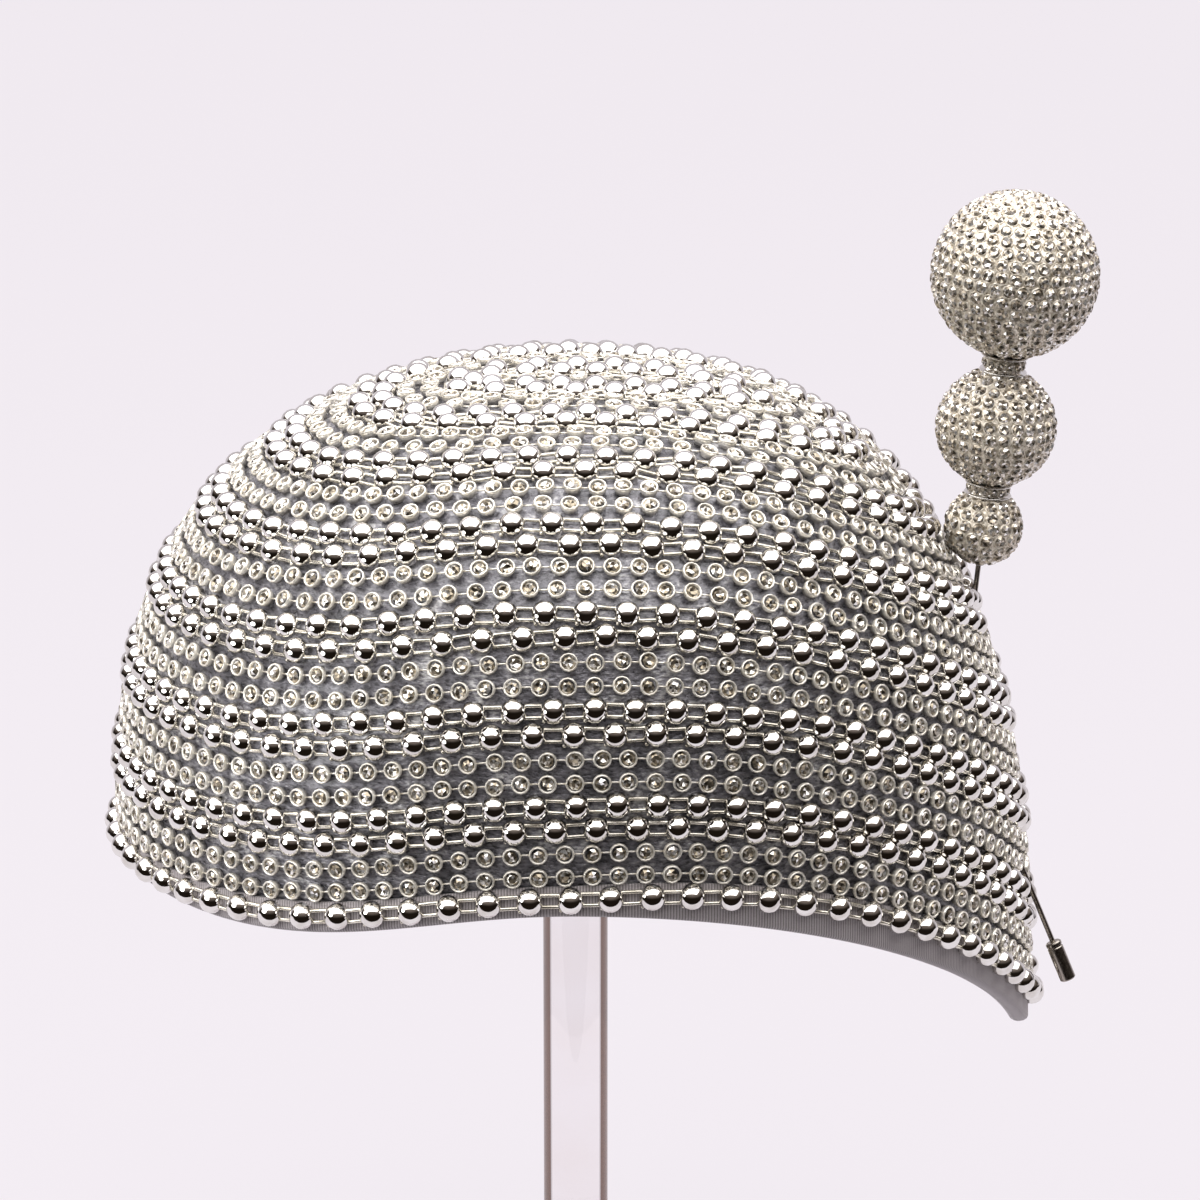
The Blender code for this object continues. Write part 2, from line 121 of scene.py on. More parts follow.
def ramp(tree: bpy.types.NodeTree, source: bpy.types.NodeSocket,
         stops: Stops) -> bpy.types.NodeSocket:
    """Colour ramp over a share.

    Args:
        tree: the node tree that gets it.
        source: the socket with the share.
        stops: place and colour of each stop.

    Returns:
        The ramp's colour socket.
    """
    node = add_node(tree, "ShaderNodeValToRGB", {"Fac": source})
    elements = node.color_ramp.elements
    for place, _ in stops[1:-1]:
        elements.new(place)
    for element, (place, colour) in zip(elements, stops):
        element.position = place
        element.color = linear(colour)
    return node.outputs["Color"]


def spread(tree: bpy.types.NodeTree, source: bpy.types.NodeSocket, to: Span,
           start: Span = (0.0, 1.0), curve: str = "LINEAR") -> bpy.types.NodeSocket:
    """Map one range of values onto another.

    Args:
        tree: the node tree that gets it.
        source: the socket with the value.
        to: the values at the two ends.
        start: the source's values there.
        curve: how it runs between them.

    Returns:
        The socket with the mapped value.
    """
    node = add_node(tree, "ShaderNodeMapRange",
                    {"Value": source, "From Min": start[0], "From Max": start[1],
                     "To Min": to[0], "To Max": to[1]}, interpolation_type=curve)
    return node.outputs["Result"]


def blend(tree: bpy.types.NodeTree, share: bpy.types.NodeSocket,
          first: bpy.types.NodeSocket | str,
          second: bpy.types.NodeSocket | str) -> bpy.types.NodeSocket:
    """Go from one colour to another.

    Args:
        tree: the node tree that gets it.
        share: the socket with the share of the second.
        first: a socket, or a screen colour.
        second: the same for the other one.

    Returns:
        The socket with the blended colour.
    """
    colours = [linear(c) if isinstance(c, str) else c for c in (first, second)]
    node = add_node(tree, "ShaderNodeMix", {0: share, 6: colours[0], 7: colours[1]},
                    data_type="RGBA")
    return node.outputs[2]


# Finishes


class Mix(Enum):
    """How the patches and the grain of a finish join into its colour."""

    TIMES = "MULTIPLY"
    PLUS = "ADD"


@dataclass(frozen=True)
class Grain:
    """Noise: the size of its spots in metres, its finer layers and its stretch."""

    size: float
    detail: float = 3.0
    stretch: Point = (1.0, 1.0, 1.0)

    def draw(self, tree: bpy.types.NodeTree) -> bpy.types.NodeSocket:
        """Draw it on the object's own coordinates.

        Args:
            tree: the node tree that gets it.

        Returns:
            The socket with its value from 0 to 1.
        """
        place = add_node(tree, "ShaderNodeTexCoord").outputs["Object"]
        scale = tuple(1.0 / (self.size * s) for s in self.stretch)
        mapped = add_node(tree, "ShaderNodeMapping", {"Vector": place, "Scale": scale})
        spots = add_node(tree, "ShaderNodeTexNoise", {"Vector": mapped.outputs["Vector"],
                                                      "Scale": 1.0, "Detail": self.detail})
        return spots.outputs["Fac"]


@dataclass(frozen=True)
class Finish:
    """What all finishes share: colours over patches, gloss and relief over a grain.

    The gloss is the roughness where the grain is low and where it is high. The relief is
    how high the grain stands, in metres, and how much of that shows. Without patches the
    grain gives the colour too. A mix joins both, and the span maps it onto the colours.
    """

    name: str
    colours: Stops
    grain: Grain
    gloss: Span | None = None
    relief: Span | None = None
    constants: Constants = ()
    patches: Grain | None = None
    mix: Mix | None = None
    span: Span = (0.0, 1.0)

    def pattern(self, tree: bpy.types.NodeTree,
                grain: bpy.types.NodeSocket) -> bpy.types.NodeSocket:
        """Share that picks the colour.

        Args:
            tree: the material's node tree.
            grain: the socket with the finish's grain.

        Returns:
            The socket with the share.
        """
        patches = self.patches.draw(tree) if self.patches else grain
        if self.mix is None:
            return patches
        both = add_node(tree, "ShaderNodeMath", {0: patches, 1: grain},
                        operation=self.mix.value)
        return spread(tree, both.outputs[0], self.span)

    def colour(self, tree: bpy.types.NodeTree,
               grain: bpy.types.NodeSocket) -> bpy.types.NodeSocket:
        """The finish's colours over its pattern."""
        return ramp(tree, self.pattern(tree, grain), self.colours)

    def build(self) -> bpy.types.Material:
        """Make the material.

        Returns:
            The material.
        """
        material = bpy.data.materials.new(self.name)
        material.use_nodes = True
        tree = material.node_tree
        shader = tree.nodes["Principled BSDF"]
        for key, value in self.constants:
            shader.inputs[key].default_value = value
        grain = self.grain.draw(tree)
        tree.links.new(self.colour(tree, grain), shader.inputs["Base Color"])
        if self.gloss:
            tree.links.new(spread(tree, grain, self.gloss), shader.inputs["Roughness"])
        if self.relief:
            bump = add_node(tree, "ShaderNodeBump", {"Height": grain, "Distance": self.relief[0],
                                                     "Strength": self.relief[1]})
            tree.links.new(bump.outputs["Normal"], shader.inputs["Normal"])
        return material


@dataclass(frozen=True)
class SilverPlate(Finish):
    """Bright silver plate: the eye gets a near mirror with faint bloom and fine scuffs."""

    name: str = "silver_plate"
    colours: Stops = ((0.35, "#d6d2cc"), (0.6, "#ebe9e6"))
    patches: Grain = Grain(0.004)
    grain: Grain = Grain(0.0009, 4.0)
    gloss: Span = (0.03, 0.10)
    relief: Span = (0.00001, 0.5)
    constants: Constants = (("Metallic", 1.0),)


@dataclass(frozen=True)
class CupMetal(Finish):
    """Soft plated cups: the eye gets creamy silver, dimmer than the balls."""

    name: str = "cup_metal"
    colours: Stops = ((0.3, "#ddd6c8"), (0.62, "#fbf7ee"))
    patches: Grain = Grain(0.003)
    grain: Grain = Grain(0.0006, 4.0)
    gloss: Span = (0.16, 0.32)
    relief: Span = (0.00003, 0.6)
    constants: Constants = (("Metallic", 0.6),)


@dataclass(frozen=True)
class LinkMetal(CupMetal):
    """Plated wire between the balls: the eye gets silver that is greyer than the cups'."""

    name: str = "link_metal"
    colours: Stops = ((0.3, "#bbb4a5"), (0.62, "#f0ebdf"))
    constants: Constants = (("Metallic", 0.8),)


@dataclass(frozen=True)
class CutStone(Finish):
    """Foil-backed cut glass: the eye gets champagne facets, each of a random tone that runs from
    painted dark facets to painted white glints.
    """

    name: str = "cut_stone"
    # The dark and white ends are painted shade and painted glints that stand in for the
    # reflections inside the stone.
    colours: Stops = ((0.0, "#332d25"), (0.5, "#aea28e"), (1.0, "#ffffff"))
    grain: Grain = Grain(0.002)
    gloss: Span = (0.05, 0.14)
    constants: Constants = (("Metallic", 0.75),)

    def pattern(self, tree: bpy.types.NodeTree,
                grain: bpy.types.NodeSocket) -> bpy.types.NodeSocket:
        """Each facet's random tone: its painted glint or painted dark facet."""
        return add_node(tree, "ShaderNodeAttribute", attribute_name=PAINTED_FACET_LIGHT).outputs["Fac"]


@dataclass(frozen=True)
class PaveStone(CutStone):
    """Small cut glass of the pin: the eye gets paler facets, closer in tone, with the same
    painted glints and painted dark facets.
    """

    name: str = "pave_stone"
    # The dark and white ends are painted shade and painted glints, as on the set stones.
    colours: Stops = ((0.0, "#52483b"), (0.5, "#c4b9a8"), (1.0, "#ffffff"))


@dataclass(frozen=True)
class FilmedFelt(Finish):
    """Felt under a thin glossy film: the eye gets mottled grey, the felt's own, with pale
    crinkled streaks that are painted highlights of the film's crinkles.
    """

    name: str = "filmed_felt"
    # The pale end paints highlights along the crinkles of the film; the grey mottling is the
    # felt's own.
    colours: Stops = ((0.0, "#454448"), (0.5, "#85838a"), (1.0, "#e2e1e2"))
    patches: Grain = Grain(0.007, 5.0)
    grain: Grain = Grain(0.0016, 6.0, (1.0, 1.0, 0.45))
    mix: Mix = Mix.TIMES
    span: Span = (-0.4, 2.6)
    gloss: Span = (0.14, 0.45)
    relief: Span = (0.0007, 0.9)
    constants: Constants = (("Metallic", 0.45), ("Coat Weight", 0.6), ("Coat Roughness", 0.12))


@dataclass(frozen=True)
class PlainFelt(Finish):
    """Pressed wool felt inside the cap: the eye gets soft grey with short fibres."""

    name: str = "plain_felt"
    colours: Stops = ((0.0, "#4b4c51"), (1.0, "#6c6d73"))
    patches: Grain = Grain(0.012)
    grain: Grain = Grain(0.0007, 6.0, (2.5, 1.0, 1.0))
    mix: Mix = Mix.PLUS
    span: Span = (-0.3, 0.8)
    gloss: Span = (0.75, 0.95)
    relief: Span = (0.0003, 0.8)
    constants: Constants = (("Sheen Weight", 0.3),)


@dataclass(frozen=True)
class Grosgrain(Finish):
    """Corded ribbon: the eye gets pale grey ribs with painted shade in the valleys and fine
    threads.
    """

    name: str = "grosgrain"
    # The darker end is painted shade in the valleys between the ribs.
    colours: Stops = ((0.0, "#6c6668"), (1.0, "#bdb6b8"))
    grain: Grain = Grain(0.00025, 2.0)
    span: Span = (-0.3, 0.3)
    gloss: Span = (0.5, 0.75)
    relief: Span = (0.0001, 0.6)
    constants: Constants = (("Sheen Weight", 0.15),)

    def pattern(self, tree: bpy.types.NodeTree,
                grain: bpy.types.NodeSocket) -> bpy.types.NodeSocket:
        """The height of the rib, which paints shade into the valleys, made uneven by the thread.

        Args:
            tree: the material's node tree.
            grain: the socket with the thread.

        Returns:
            The socket with the share.
        """
        rib = add_node(tree, "ShaderNodeAttribute", attribute_name=RIB).outputs["Fac"]
        uneven = add_node(tree, "ShaderNodeMath", {0: rib, 1: spread(tree, grain, self.span)},
                          operation="ADD")
        return uneven.outputs[0]


@dataclass(frozen=True)
class DrawnSteel(Finish):
    """Drawn steel of the pin: the eye gets dark bronzed grey with fine lines along it."""

    name: str = "drawn_steel"
    colours: Stops = ((0.3, "#8b837c"), (0.7, "#b3aca2"))
    grain: Grain = Grain(0.0003, 3.0, (1.0, 1.0, 14.0))
    gloss: Span = (0.16, 0.3)
    relief: Span = (0.00002, 0.4)
    constants: Constants = (("Metallic", 1.0),)


@dataclass(frozen=True)
class ClearAcrylic(Finish):
    """Polished clear acrylic: the eye gets clear stock with faint handling marks."""

    name: str = "clear_acrylic_stock"
    colours: Stops = ((0.3, "#f6f1f0"), (0.7, "#fbf9fb"))
    grain: Grain = Grain(0.02)
    gloss: Span = (0.0, 0.04)
    constants: Constants = (("Transmission Weight", 1.0), ("IOR", 1.49))


@dataclass(frozen=True)
class RodAcrylic(ClearAcrylic):
    """Acrylic of the rod: the eye gets a clear middle between two painted dark lines, painted
    shade where the rod's sides would show the dark room.
    """

    name: str = "clear_rod_stock"
    # Painted shade at the rod's sides, standing in for the dark room seen through them.
    edge: str = "#3a241c"
    painted_shade_start: Span = (0.36, 0.43)

    def colour(self, tree: bpy.types.NodeTree,
               grain: bpy.types.NodeSocket) -> bpy.types.NodeSocket:
        """The clear tint, with painted shade where the rod turns away.

        Args:
            tree: the material's node tree.
            grain: the socket with its grain.

        Returns:
            The socket with the colour.
        """
        clear = ramp(tree, grain, self.colours)
        facing = add_node(tree, "ShaderNodeLayerWeight", {"Blend": 0.5}).outputs["Facing"]
        share = spread(tree, facing, (0.0, 1.0), self.painted_shade_start)
        return blend(tree, share, clear, self.edge)


@dataclass(frozen=True)
class PavePaste(Finish):
    """Pale setting between the stones of the pin: the eye gets grainy cream metal."""

    name: str = "pave_setting"
    colours: Stops = ((0.35, "#a89c88"), (0.6, "#fbf3e6"))
    grain: Grain = Grain(0.0009, 4.0)
    gloss: Span = (0.2, 0.45)
    relief: Span = (0.0001, 0.6)
    constants: Constants = (("Metallic", 0.55),)


@dataclass(frozen=True)
class TablePaint(Finish):
    """Matt paint of the table: the eye gets an even pale ground, faintly clouded."""

    name: str = "table_paint"
    colours: Stops = ((0.3, "#302f31"), (0.7, "#343234"))
    grain: Grain = Grain(0.4)
    constants: Constants = (("Roughness", 0.6), ("Emission Color", linear(PALE)),
                            ("Emission Strength", 0.92))


# Shape of the cap


@dataclass(frozen=True)
class Columns:
    """Lines up the cap from its edge to its ridge, measured by their length.

    The arrays hold one row for each line: points and normals of its steps, their distance
    from the edge, and the line's length and lead, which is how far up the first trim starts.
    """

    points: np.ndarray
    normals: np.ndarray
    distances: np.ndarray
    leads: np.ndarray
    side_length: float

    def place(self, distance: np.ndarray | float, lift: float) -> tuple[np.ndarray, np.ndarray]:
        """Points at a distance up from the edge at the sides, and above the felt.

        Args:
            distance: one distance, or one for each line.
            lift: height above the felt.

        Returns:
            Points and normals, one row for each line.
        """
        lengths = self.distances[:, -1]
        wanted = np.broadcast_to(np.asarray(distance, dtype=float), lengths.shape)
        along = wanted * (lengths - self.leads) / self.side_length
        along = along + np.where(wanted > 0.0, self.leads, 0.0)
        both = np.concatenate([self.points, self.normals], axis=2)
        rows = np.array([[np.interp(a, d, column) for column in table.T]
                         for a, d, table in zip(along, self.distances, both)])
        normals = rows[:, 3:] / np.linalg.norm(rows[:, 3:], axis=1, keepdims=True)
        down = self.points[:, 0] - self.points[:, EDGE_STEP]
        down /= np.linalg.norm(down, axis=1, keepdims=True)
        below = np.minimum(along, 0.0)[:, None]
        return rows[:, :3] - down * below + normals * lift, normals


@dataclass(frozen=True)
class CapShape:
    """Outer face of the felt, by the same sizes and curves as its solid."""

    half_length: float = 0.1026
    half_width: float = 0.0894
    centre_x: float = -0.0007
    wall: float = 0.0020
    crown_height: float = 0.2406
    side_depth: float = 0.0939
    peak_drop: float = 0.0569
    back_drop: float = 0.0116
    peak_flare: float = 0.0022
    peak_rounding: float = 0.12
    side_roundness: float = 2.90
    front_roundness: float = 2.76
    back_roundness: float = 2.62
    back_evenness: float = 8.0
    ridge_front: float = 0.29
    ridge_back: float = -0.15
    binding_extra: float = 0.0042
    peak_pinch: float = 1.5
    path_steps: int = 240
    near: float = 0.0005

    def rim_depth(self, angle: np.ndarray) -> np.ndarray:
        """Depth of the edge below the crown, at angles from the front point.

        Args:
            angle: angles from the front point.

        Returns:
            Depths below the top of the crown.
        """
        side = np.abs(np.sin(angle))
        soft = np.hypot(side, self.peak_rounding) - self.peak_rounding
        soft = soft / (math.hypot(1.0, self.peak_rounding) - self.peak_rounding)
        front = self.side_depth + self.peak_drop * (1.0 - soft)
        back = self.side_depth + self.back_drop * (1.0 - side ** self.back_evenness)
        return np.where(np.cos(angle) > 0.0, front, back)

    def height(self, x: np.ndarray, y: np.ndarray) -> np.ndarray:
        """Height of the felt's outer face over points of the plan.

        Args:
            x: places along the cap.
            y: places across it.

        Returns:
            Heights above the table.
        """
        along = (x - self.centre_x) / self.half_length
        across = y / self.half_width
        reach = np.minimum(np.hypot(along, across), 1.0)
        angle = np.arctan2(across, along)
        end = np.where(along > 0.0, self.front_roundness, self.back_roundness)
        power = self.side_roundness + (end - self.side_roundness) * np.cos(angle) ** 2
        fall = 1.0 - (1.0 - reach ** power) ** (1.0 / power)
        return self.crown_height - self.rim_depth(angle) * fall

    def ridge_place(self, angle: np.ndarray) -> np.ndarray:
        """X of the ridge point that the trims run up to from angles of the edge.

        Args:
            angle: angles of the edge.

        Returns:
            Places along the cap.
        """
        turn = np.cos(angle)
        share = turn * (3.0 - turn * turn) / 2.0
        middle = (self.ridge_front + self.ridge_back) / 2.0
        half = (self.ridge_front - self.ridge_back) / 2.0
        return self.centre_x + self.half_length * (middle + half * share)

    def point(self, angle: np.ndarray, run: np.ndarray) -> np.ndarray:
        """Points of the outer face, run 0 at the edge and 1 at the ridge.

        Args:
            angle: angles from the front point.
            run: shares of the way from the edge to the ridge.

        Returns:
            One row of coordinates for each point.
        """
        edge_x = self.centre_x + self.half_length * np.cos(angle)
        edge_y = self.half_width * np.sin(angle)
        x = edge_x + (self.ridge_place(angle) - edge_x) * run
        y = edge_y * (1.0 - run)
        z = self.height(x, y)
        forward = np.maximum(0.0, (x - self.centre_x) / self.half_length)
        depth_share = (self.crown_height - z) / (self.side_depth + self.peak_drop)
        return np.stack([x + self.peak_flare * forward ** 2 * depth_share ** 2, y, z], axis=-1)

    def columns(self, angles: np.ndarray) -> Columns:
        """Measured lines up the cap.

        Args:
            angles: angle of each line from the front point.

        Returns:
            The lines.
        """
        side = self.measure(np.array([math.pi / 2.0]))[2][0, -1]
        points, normals, distances = self.measure(angles)
        forward = np.maximum(0.0, np.cos(angles))
        leads = self.binding_extra * forward * (2.0 - self.peak_pinch * forward ** 2)
        return Columns(points, normals, distances, leads, float(side))

    def measure(self, angles: np.ndarray) -> tuple[np.ndarray, np.ndarray, np.ndarray]:
        """Steps of the lines at some angles.

        Args:
            angles: angle of each line from the front point.

        Returns:
            Points, normals and distances from the edge, one row for each line.
        """
        runs = 1.0 - np.cos(np.linspace(0.0, math.pi / 2.0, self.path_steps + 1))
        angle = np.repeat(angles[:, None], len(runs), axis=1)
        run = np.broadcast_to(runs, angle.shape)
        points = self.point(angle, run)
        inner = np.minimum(run, 1.0 - 2.0 * self.near)
        beside = self.point(angle + self.near, inner) - self.point(angle - self.near, inner)
        above = self.point(angle, inner + self.near) - self.point(angle, inner)
        normals = np.cross(beside, above)
        normals /= np.linalg.norm(normals, axis=2, keepdims=True)
        steps = np.linalg.norm(np.diff(points, axis=1), axis=2)
        start = np.zeros((len(angles), 1))
        return points, normals, np.concatenate([start, np.cumsum(steps, axis=1)], axis=1)


@dataclass(frozen=True)
class TrimLayout:
    """Distances of the trims up from the edge, as in the solids.

    The balls' lift is the height of their centres above the felt. The loosening is how much
    looser each band lies than the one below it.
    """

    cap: CapShape
    ball: float = 0.0055
    ball_rows: float = 0.0050
    ball_lift: float = 0.00085
    cup: float = 0.0042
    cup_rows: float = 0.0049
    binding_width: float = 0.0060
    binding_thickness: float = 0.0008
    fit_gap: float = 0.0004
    trim_gap: float = 0.0003
    crown_patch: float = 0.0031
    loosening: float = 0.35
    count: int = 7

    @property
    def period(self) -> float:
        """Distance from one band of stones to the next.

        Returns:
            The distance along the side.
        """
        side = self.cap.columns(np.array([math.pi / 2.0])).side_length
        first = self.binding_width + self.trim_gap
        return (side - self.crown_patch - first) / self.count

    @property
    def looseness(self) -> float:
        """How far the trims are spread over their closest widths."""
        close = self.ball + self.ball_rows + self.cup + self.cup_rows
        return (self.period - 2.0 * self.trim_gap) / close

    def ease(self, index: int) -> float:
        """How loosely the trims of a band lie: more towards the crown."""
        return 1.0 + self.loosening * index

    def stone_rows(self, index: int) -> tuple[float, float]:
        """Places of the two rows of a band of stones.

        Args:
            index: number of the band, 0 at the edge.

        Returns:
            Distances of the lower and the upper row.
        """
        start = self.binding_width + self.trim_gap + index * self.period
        width = (self.cup + self.cup_rows) * self.looseness
        return start + self.cup / 2.0, start + width - self.cup / 2.0

    def ball_pair(self, index: int) -> tuple[float, float]:
        """Places of the two rows of a double row of balls.

        Args:
            index: number of the double row, 0 at the edge.

        Returns:
            Distances of the lower and the upper row.
        """
        width = (self.ball + self.ball_rows) * self.looseness
        start = self.stone_rows(index)[1] + self.cup / 2.0 + self.trim_gap
        return start + self.ball / 2.0, start + width - self.ball / 2.0


class Loop:
    """Closed line round the cap, along which shapes are spaced evenly."""

    def __init__(self, cap: CapShape, distance: float, fineness: int = 720) -> None:
        """Measure the loop at a distance up from the edge.

        Args:
            cap: the cap's shape.
            distance: distance up from the edge at the sides.
            fineness: how many steps it is measured in.
        """
        self.cap = cap
        self.angles = np.linspace(0.0, FULL_TURN, fineness + 1)
        points = cap.columns(self.angles).place(distance, 0.0)[0]
        steps = np.linalg.norm(np.diff(points, axis=0), axis=1)
        self.lengths = np.concatenate([[0.0], np.cumsum(steps)])

    def count(self, pitch: float) -> int:
        """How many shapes fit round it."""
        return max(3, round(self.lengths[-1] / pitch))

    def spaced(self, count: int, phase: float) -> np.ndarray:
        """Angles of evenly spaced places.

        Args:
            count: how many places.
            phase: share of a space by which they are moved on.

        Returns:
            One angle for each place.
        """
        wanted = (np.arange(count) + phase) / count * self.lengths[-1]
        return np.interp(wanted % self.lengths[-1], self.lengths, self.angles)


def frames_at(cap: CapShape, angles: np.ndarray, distance: float, lift: float) -> np.ndarray:
    """Frames on the cap: X along the row, Y up the cap and Z out of the felt.

    Args:
        cap: the cap's shape.
        angles: angle of each frame.
        distance: distance up from the edge at the sides.
        lift: height above the felt.

    Returns:
        One 4 by 4 matrix for each angle.
    """
    points, normals = cap.columns(angles).place(distance, lift)
    ahead = cap.columns(angles + BESIDE).place(distance, lift)[0]
    behind = cap.columns(angles - BESIDE).place(distance, lift)[0]
    along = ahead - behind
    along -= normals * np.sum(along * normals, axis=1, keepdims=True)
    along /= np.linalg.norm(along, axis=1, keepdims=True)
    matrices = np.zeros((len(angles), 4, 4))
    matrices[:, :3, 0] = along
    matrices[:, :3, 1] = np.cross(normals, along)
    matrices[:, :3, 2] = normals
    matrices[:, :3, 3] = points
    matrices[:, 3, 3] = 1.0
    return matrices


# Repeated shapes


@dataclass(frozen=True)
class Pattern:
    """Mesh of one repeated shape, ready to be copied many times."""

    points: np.ndarray
    corners: np.ndarray
    sizes: np.ndarray
    finish: np.ndarray
    smooth: np.ndarray

    @classmethod
    def take(cls, bm: bmesh.types.BMesh, finish: int, smooth: bool) -> "Pattern":
        """Take the shape over from a bmesh, which is freed.

        Args:
            bm: the shape.
            finish: place of its material in the joined mesh.
            smooth: whether its faces are shaded smooth.

        Returns:
            The pattern.
        """
        bm.verts.ensure_lookup_table()
        points = np.array([vert.co[:] for vert in bm.verts])
        corners = np.array([vert.index for face in bm.faces for vert in face.verts])
        sizes = np.array([len(face.verts) for face in bm.faces])
        bm.free()
        return cls(points, corners, sizes, np.full(len(sizes), finish),
                   np.full(len(sizes), smooth))

    def joined(self, other: "Pattern") -> "Pattern":
        """One pattern of this shape and another.

        Args:
            other: the shape to add.

        Returns:
            Both as one pattern.
        """
        return Pattern(np.concatenate([self.points, other.points]),
                       np.concatenate([self.corners, other.corners + len(self.points)]),
                       np.concatenate([self.sizes, other.sizes]),
                       np.concatenate([self.finish, other.finish]),
                       np.concatenate([self.smooth, other.smooth]))


def strew(name: str, batches: list[tuple[Pattern, np.ndarray]],
          materials: list[bpy.types.Material], chance: np.random.Generator) -> bpy.types.Object:
    """One joined mesh of many copies.

    Args:
        name: the piece's name.
        batches: patterns, each with the matrices of its copies.
        materials: the materials that the patterns count.
        chance: source of each face's random painted facet light.

    Returns:
        The piece.
    """
    points, corners, sizes, finishes, smooths = [], [], [], [], []
    first = 0
    for pattern, matrices in batches:
        copies = len(matrices)
        here = np.einsum("nij,vj->nvi", matrices[:, :3, :3], pattern.points)
        here = here + matrices[:, None, :3, 3]
        points.append(here.reshape(-1, 3))
        steps = first + np.arange(copies) * len(pattern.points)
        corners.append((pattern.corners[None, :] + steps[:, None]).ravel())
        sizes.append(np.tile(pattern.sizes, copies))
        finishes.append(np.tile(pattern.finish, copies))
        smooths.append(np.tile(pattern.smooth, copies))
        first += copies * len(pattern.points)
    point, corner, size = map(np.concatenate, (points, corners, sizes))
    mesh = bpy.data.meshes.new(name)
    mesh.vertices.add(len(point))
    mesh.vertices.foreach_set("co", point.ravel())
    mesh.loops.add(len(corner))
    mesh.loops.foreach_set("vertex_index", corner)
    mesh.polygons.add(len(size))
    mesh.polygons.foreach_set("loop_start", np.concatenate([[0], np.cumsum(size)[:-1]]))
    mesh.polygons.foreach_set("material_index", np.concatenate(finishes))
    mesh.polygons.foreach_set("use_smooth", np.concatenate(smooths))
    mesh.update(calc_edges=True)
    mesh.validate()
    painted_facet_light = mesh.attributes.new(PAINTED_FACET_LIGHT, "FLOAT", "FACE")
    painted_facet_light.data.foreach_set("value", chance.random(len(mesh.polygons)))
    return as_object(name, mesh, materials)


def as_object(name: str, mesh: bpy.types.Mesh,
              materials: list[bpy.types.Material]) -> bpy.types.Object:
    """Linked object for a finished mesh.

    Args:
        name: its name.
        mesh: the mesh.
        materials: materials of its slots, in order.

    Returns:
        The object.
    """
    for material in materials:
        mesh.materials.append(material)
    thing = bpy.data.objects.new(name, mesh)
    bpy.context.scene.collection.objects.link(thing)
    return thing


def from_bmesh(name: str, bm: bmesh.types.BMesh, materials: list[bpy.types.Material],
               sharp: float = 40.0) -> bpy.types.Object:
    """Linked object from a bmesh, shaded smooth up to an angle.

    Args:
        name: the piece's name.
        bm: its shape, which is freed.
        materials: its materials.
        sharp: edges that turn more than this many degrees stay sharp.

    Returns:
        The piece.
    """
    mesh = bpy.data.meshes.new(name)
    bm.to_mesh(mesh)
    bm.free()
    mesh.shade_smooth()
    mesh.set_sharp_from_angle(angle=math.radians(sharp))
    return as_object(name, mesh, materials)


def turned(profile: list[tuple[float, float]], steps: int, closed: bool) -> bmesh.types.BMesh:
    """Shape turned round Z.

    Args:
        profile: radius and height of each point.
        steps: how many sides the turn has.
        closed: whether the last point joins the first.

    Returns:
        The shape, with its faces outward.
    """
    bm = bmesh.new()
    verts = [bm.verts.new((radius, 0.0, height)) for radius, height in profile]
    pairs = list(zip(verts, verts[1:])) + ([(verts[-1], verts[0])] if closed else [])
    edges = [bm.edges.new(pair) for pair in pairs]
    bmesh.ops.spin(bm, geom=verts + edges, cent=(0, 0, 0), axis=(0, 0, 1),
                   angle=FULL_TURN, steps=steps, use_merge=True)
    bmesh.ops.remove_doubles(bm, verts=bm.verts, dist=MERGE)
    bmesh.ops.recalc_face_normals(bm, faces=bm.faces)
    return bm


def seat(piece: bpy.types.Object, node: str) -> None:
    """Let a finished piece ride on the hat and stand for its solid.

    Args:
        piece: the finished piece.
        node: the solid that it takes the place of.
    """
    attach(piece, BODY)
    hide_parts(node)
    LOG.info("%s: %d faces", piece.name, len(piece.data.polygons))


def dress_node(node: str, material: bpy.types.Material) -> None:
    """Give a solid that stays as it is its finish.

    Args:
        node: the solid's name.
        material: its finish.
    """
    for slot in bpy.data.objects[node].material_slots:
        slot.material = material
    LOG.info("%s: finished with %s", node, material.name)


@dataclass(frozen=True)
class StoneCut:
    """Round cut stone: girdle, star facets and a table hollowed to show its depth."""

    radius: float
    height: float
    table_share: float = 0.60
    hollow_share: float = 0.45
    sides: int = 8

    def pattern(self, finish: int) -> Pattern:
        """Pattern with the girdle at height 0.

        Args:
            finish: place of its material in the joined mesh.

        Returns:
            The pattern.
        """
        bm = bmesh.new()
        bmesh.ops.create_cone(bm, cap_ends=True, segments=self.sides, radius1=self.radius,
                              radius2=self.radius * self.table_share, depth=self.height)
        top = [vert for vert in bm.verts if vert.co.z > 0.0]
        bmesh.ops.rotate(bm, verts=top, cent=(0, 0, 0),
                         matrix=Matrix.Rotation(math.pi / self.sides, 3, "Z"))
        walls = [face for face in bm.faces if len(face.verts) == 4]
        bmesh.ops.triangulate(bm, faces=walls, quad_method="SHORT_EDGE")
        table = [face for face in bm.faces
                 if len(face.verts) == self.sides and face.calc_center_median().z > 0.0]
        middle = bmesh.ops.poke(bm, faces=table)["verts"]
        bmesh.ops.translate(bm, verts=middle, vec=(0, 0, -self.height * self.hollow_share))
        bmesh.ops.translate(bm, verts=bm.verts, vec=(0, 0, self.height / 2.0))
        bmesh.ops.recalc_face_normals(bm, faces=bm.faces)
        return Pattern.take(bm, finish, False)


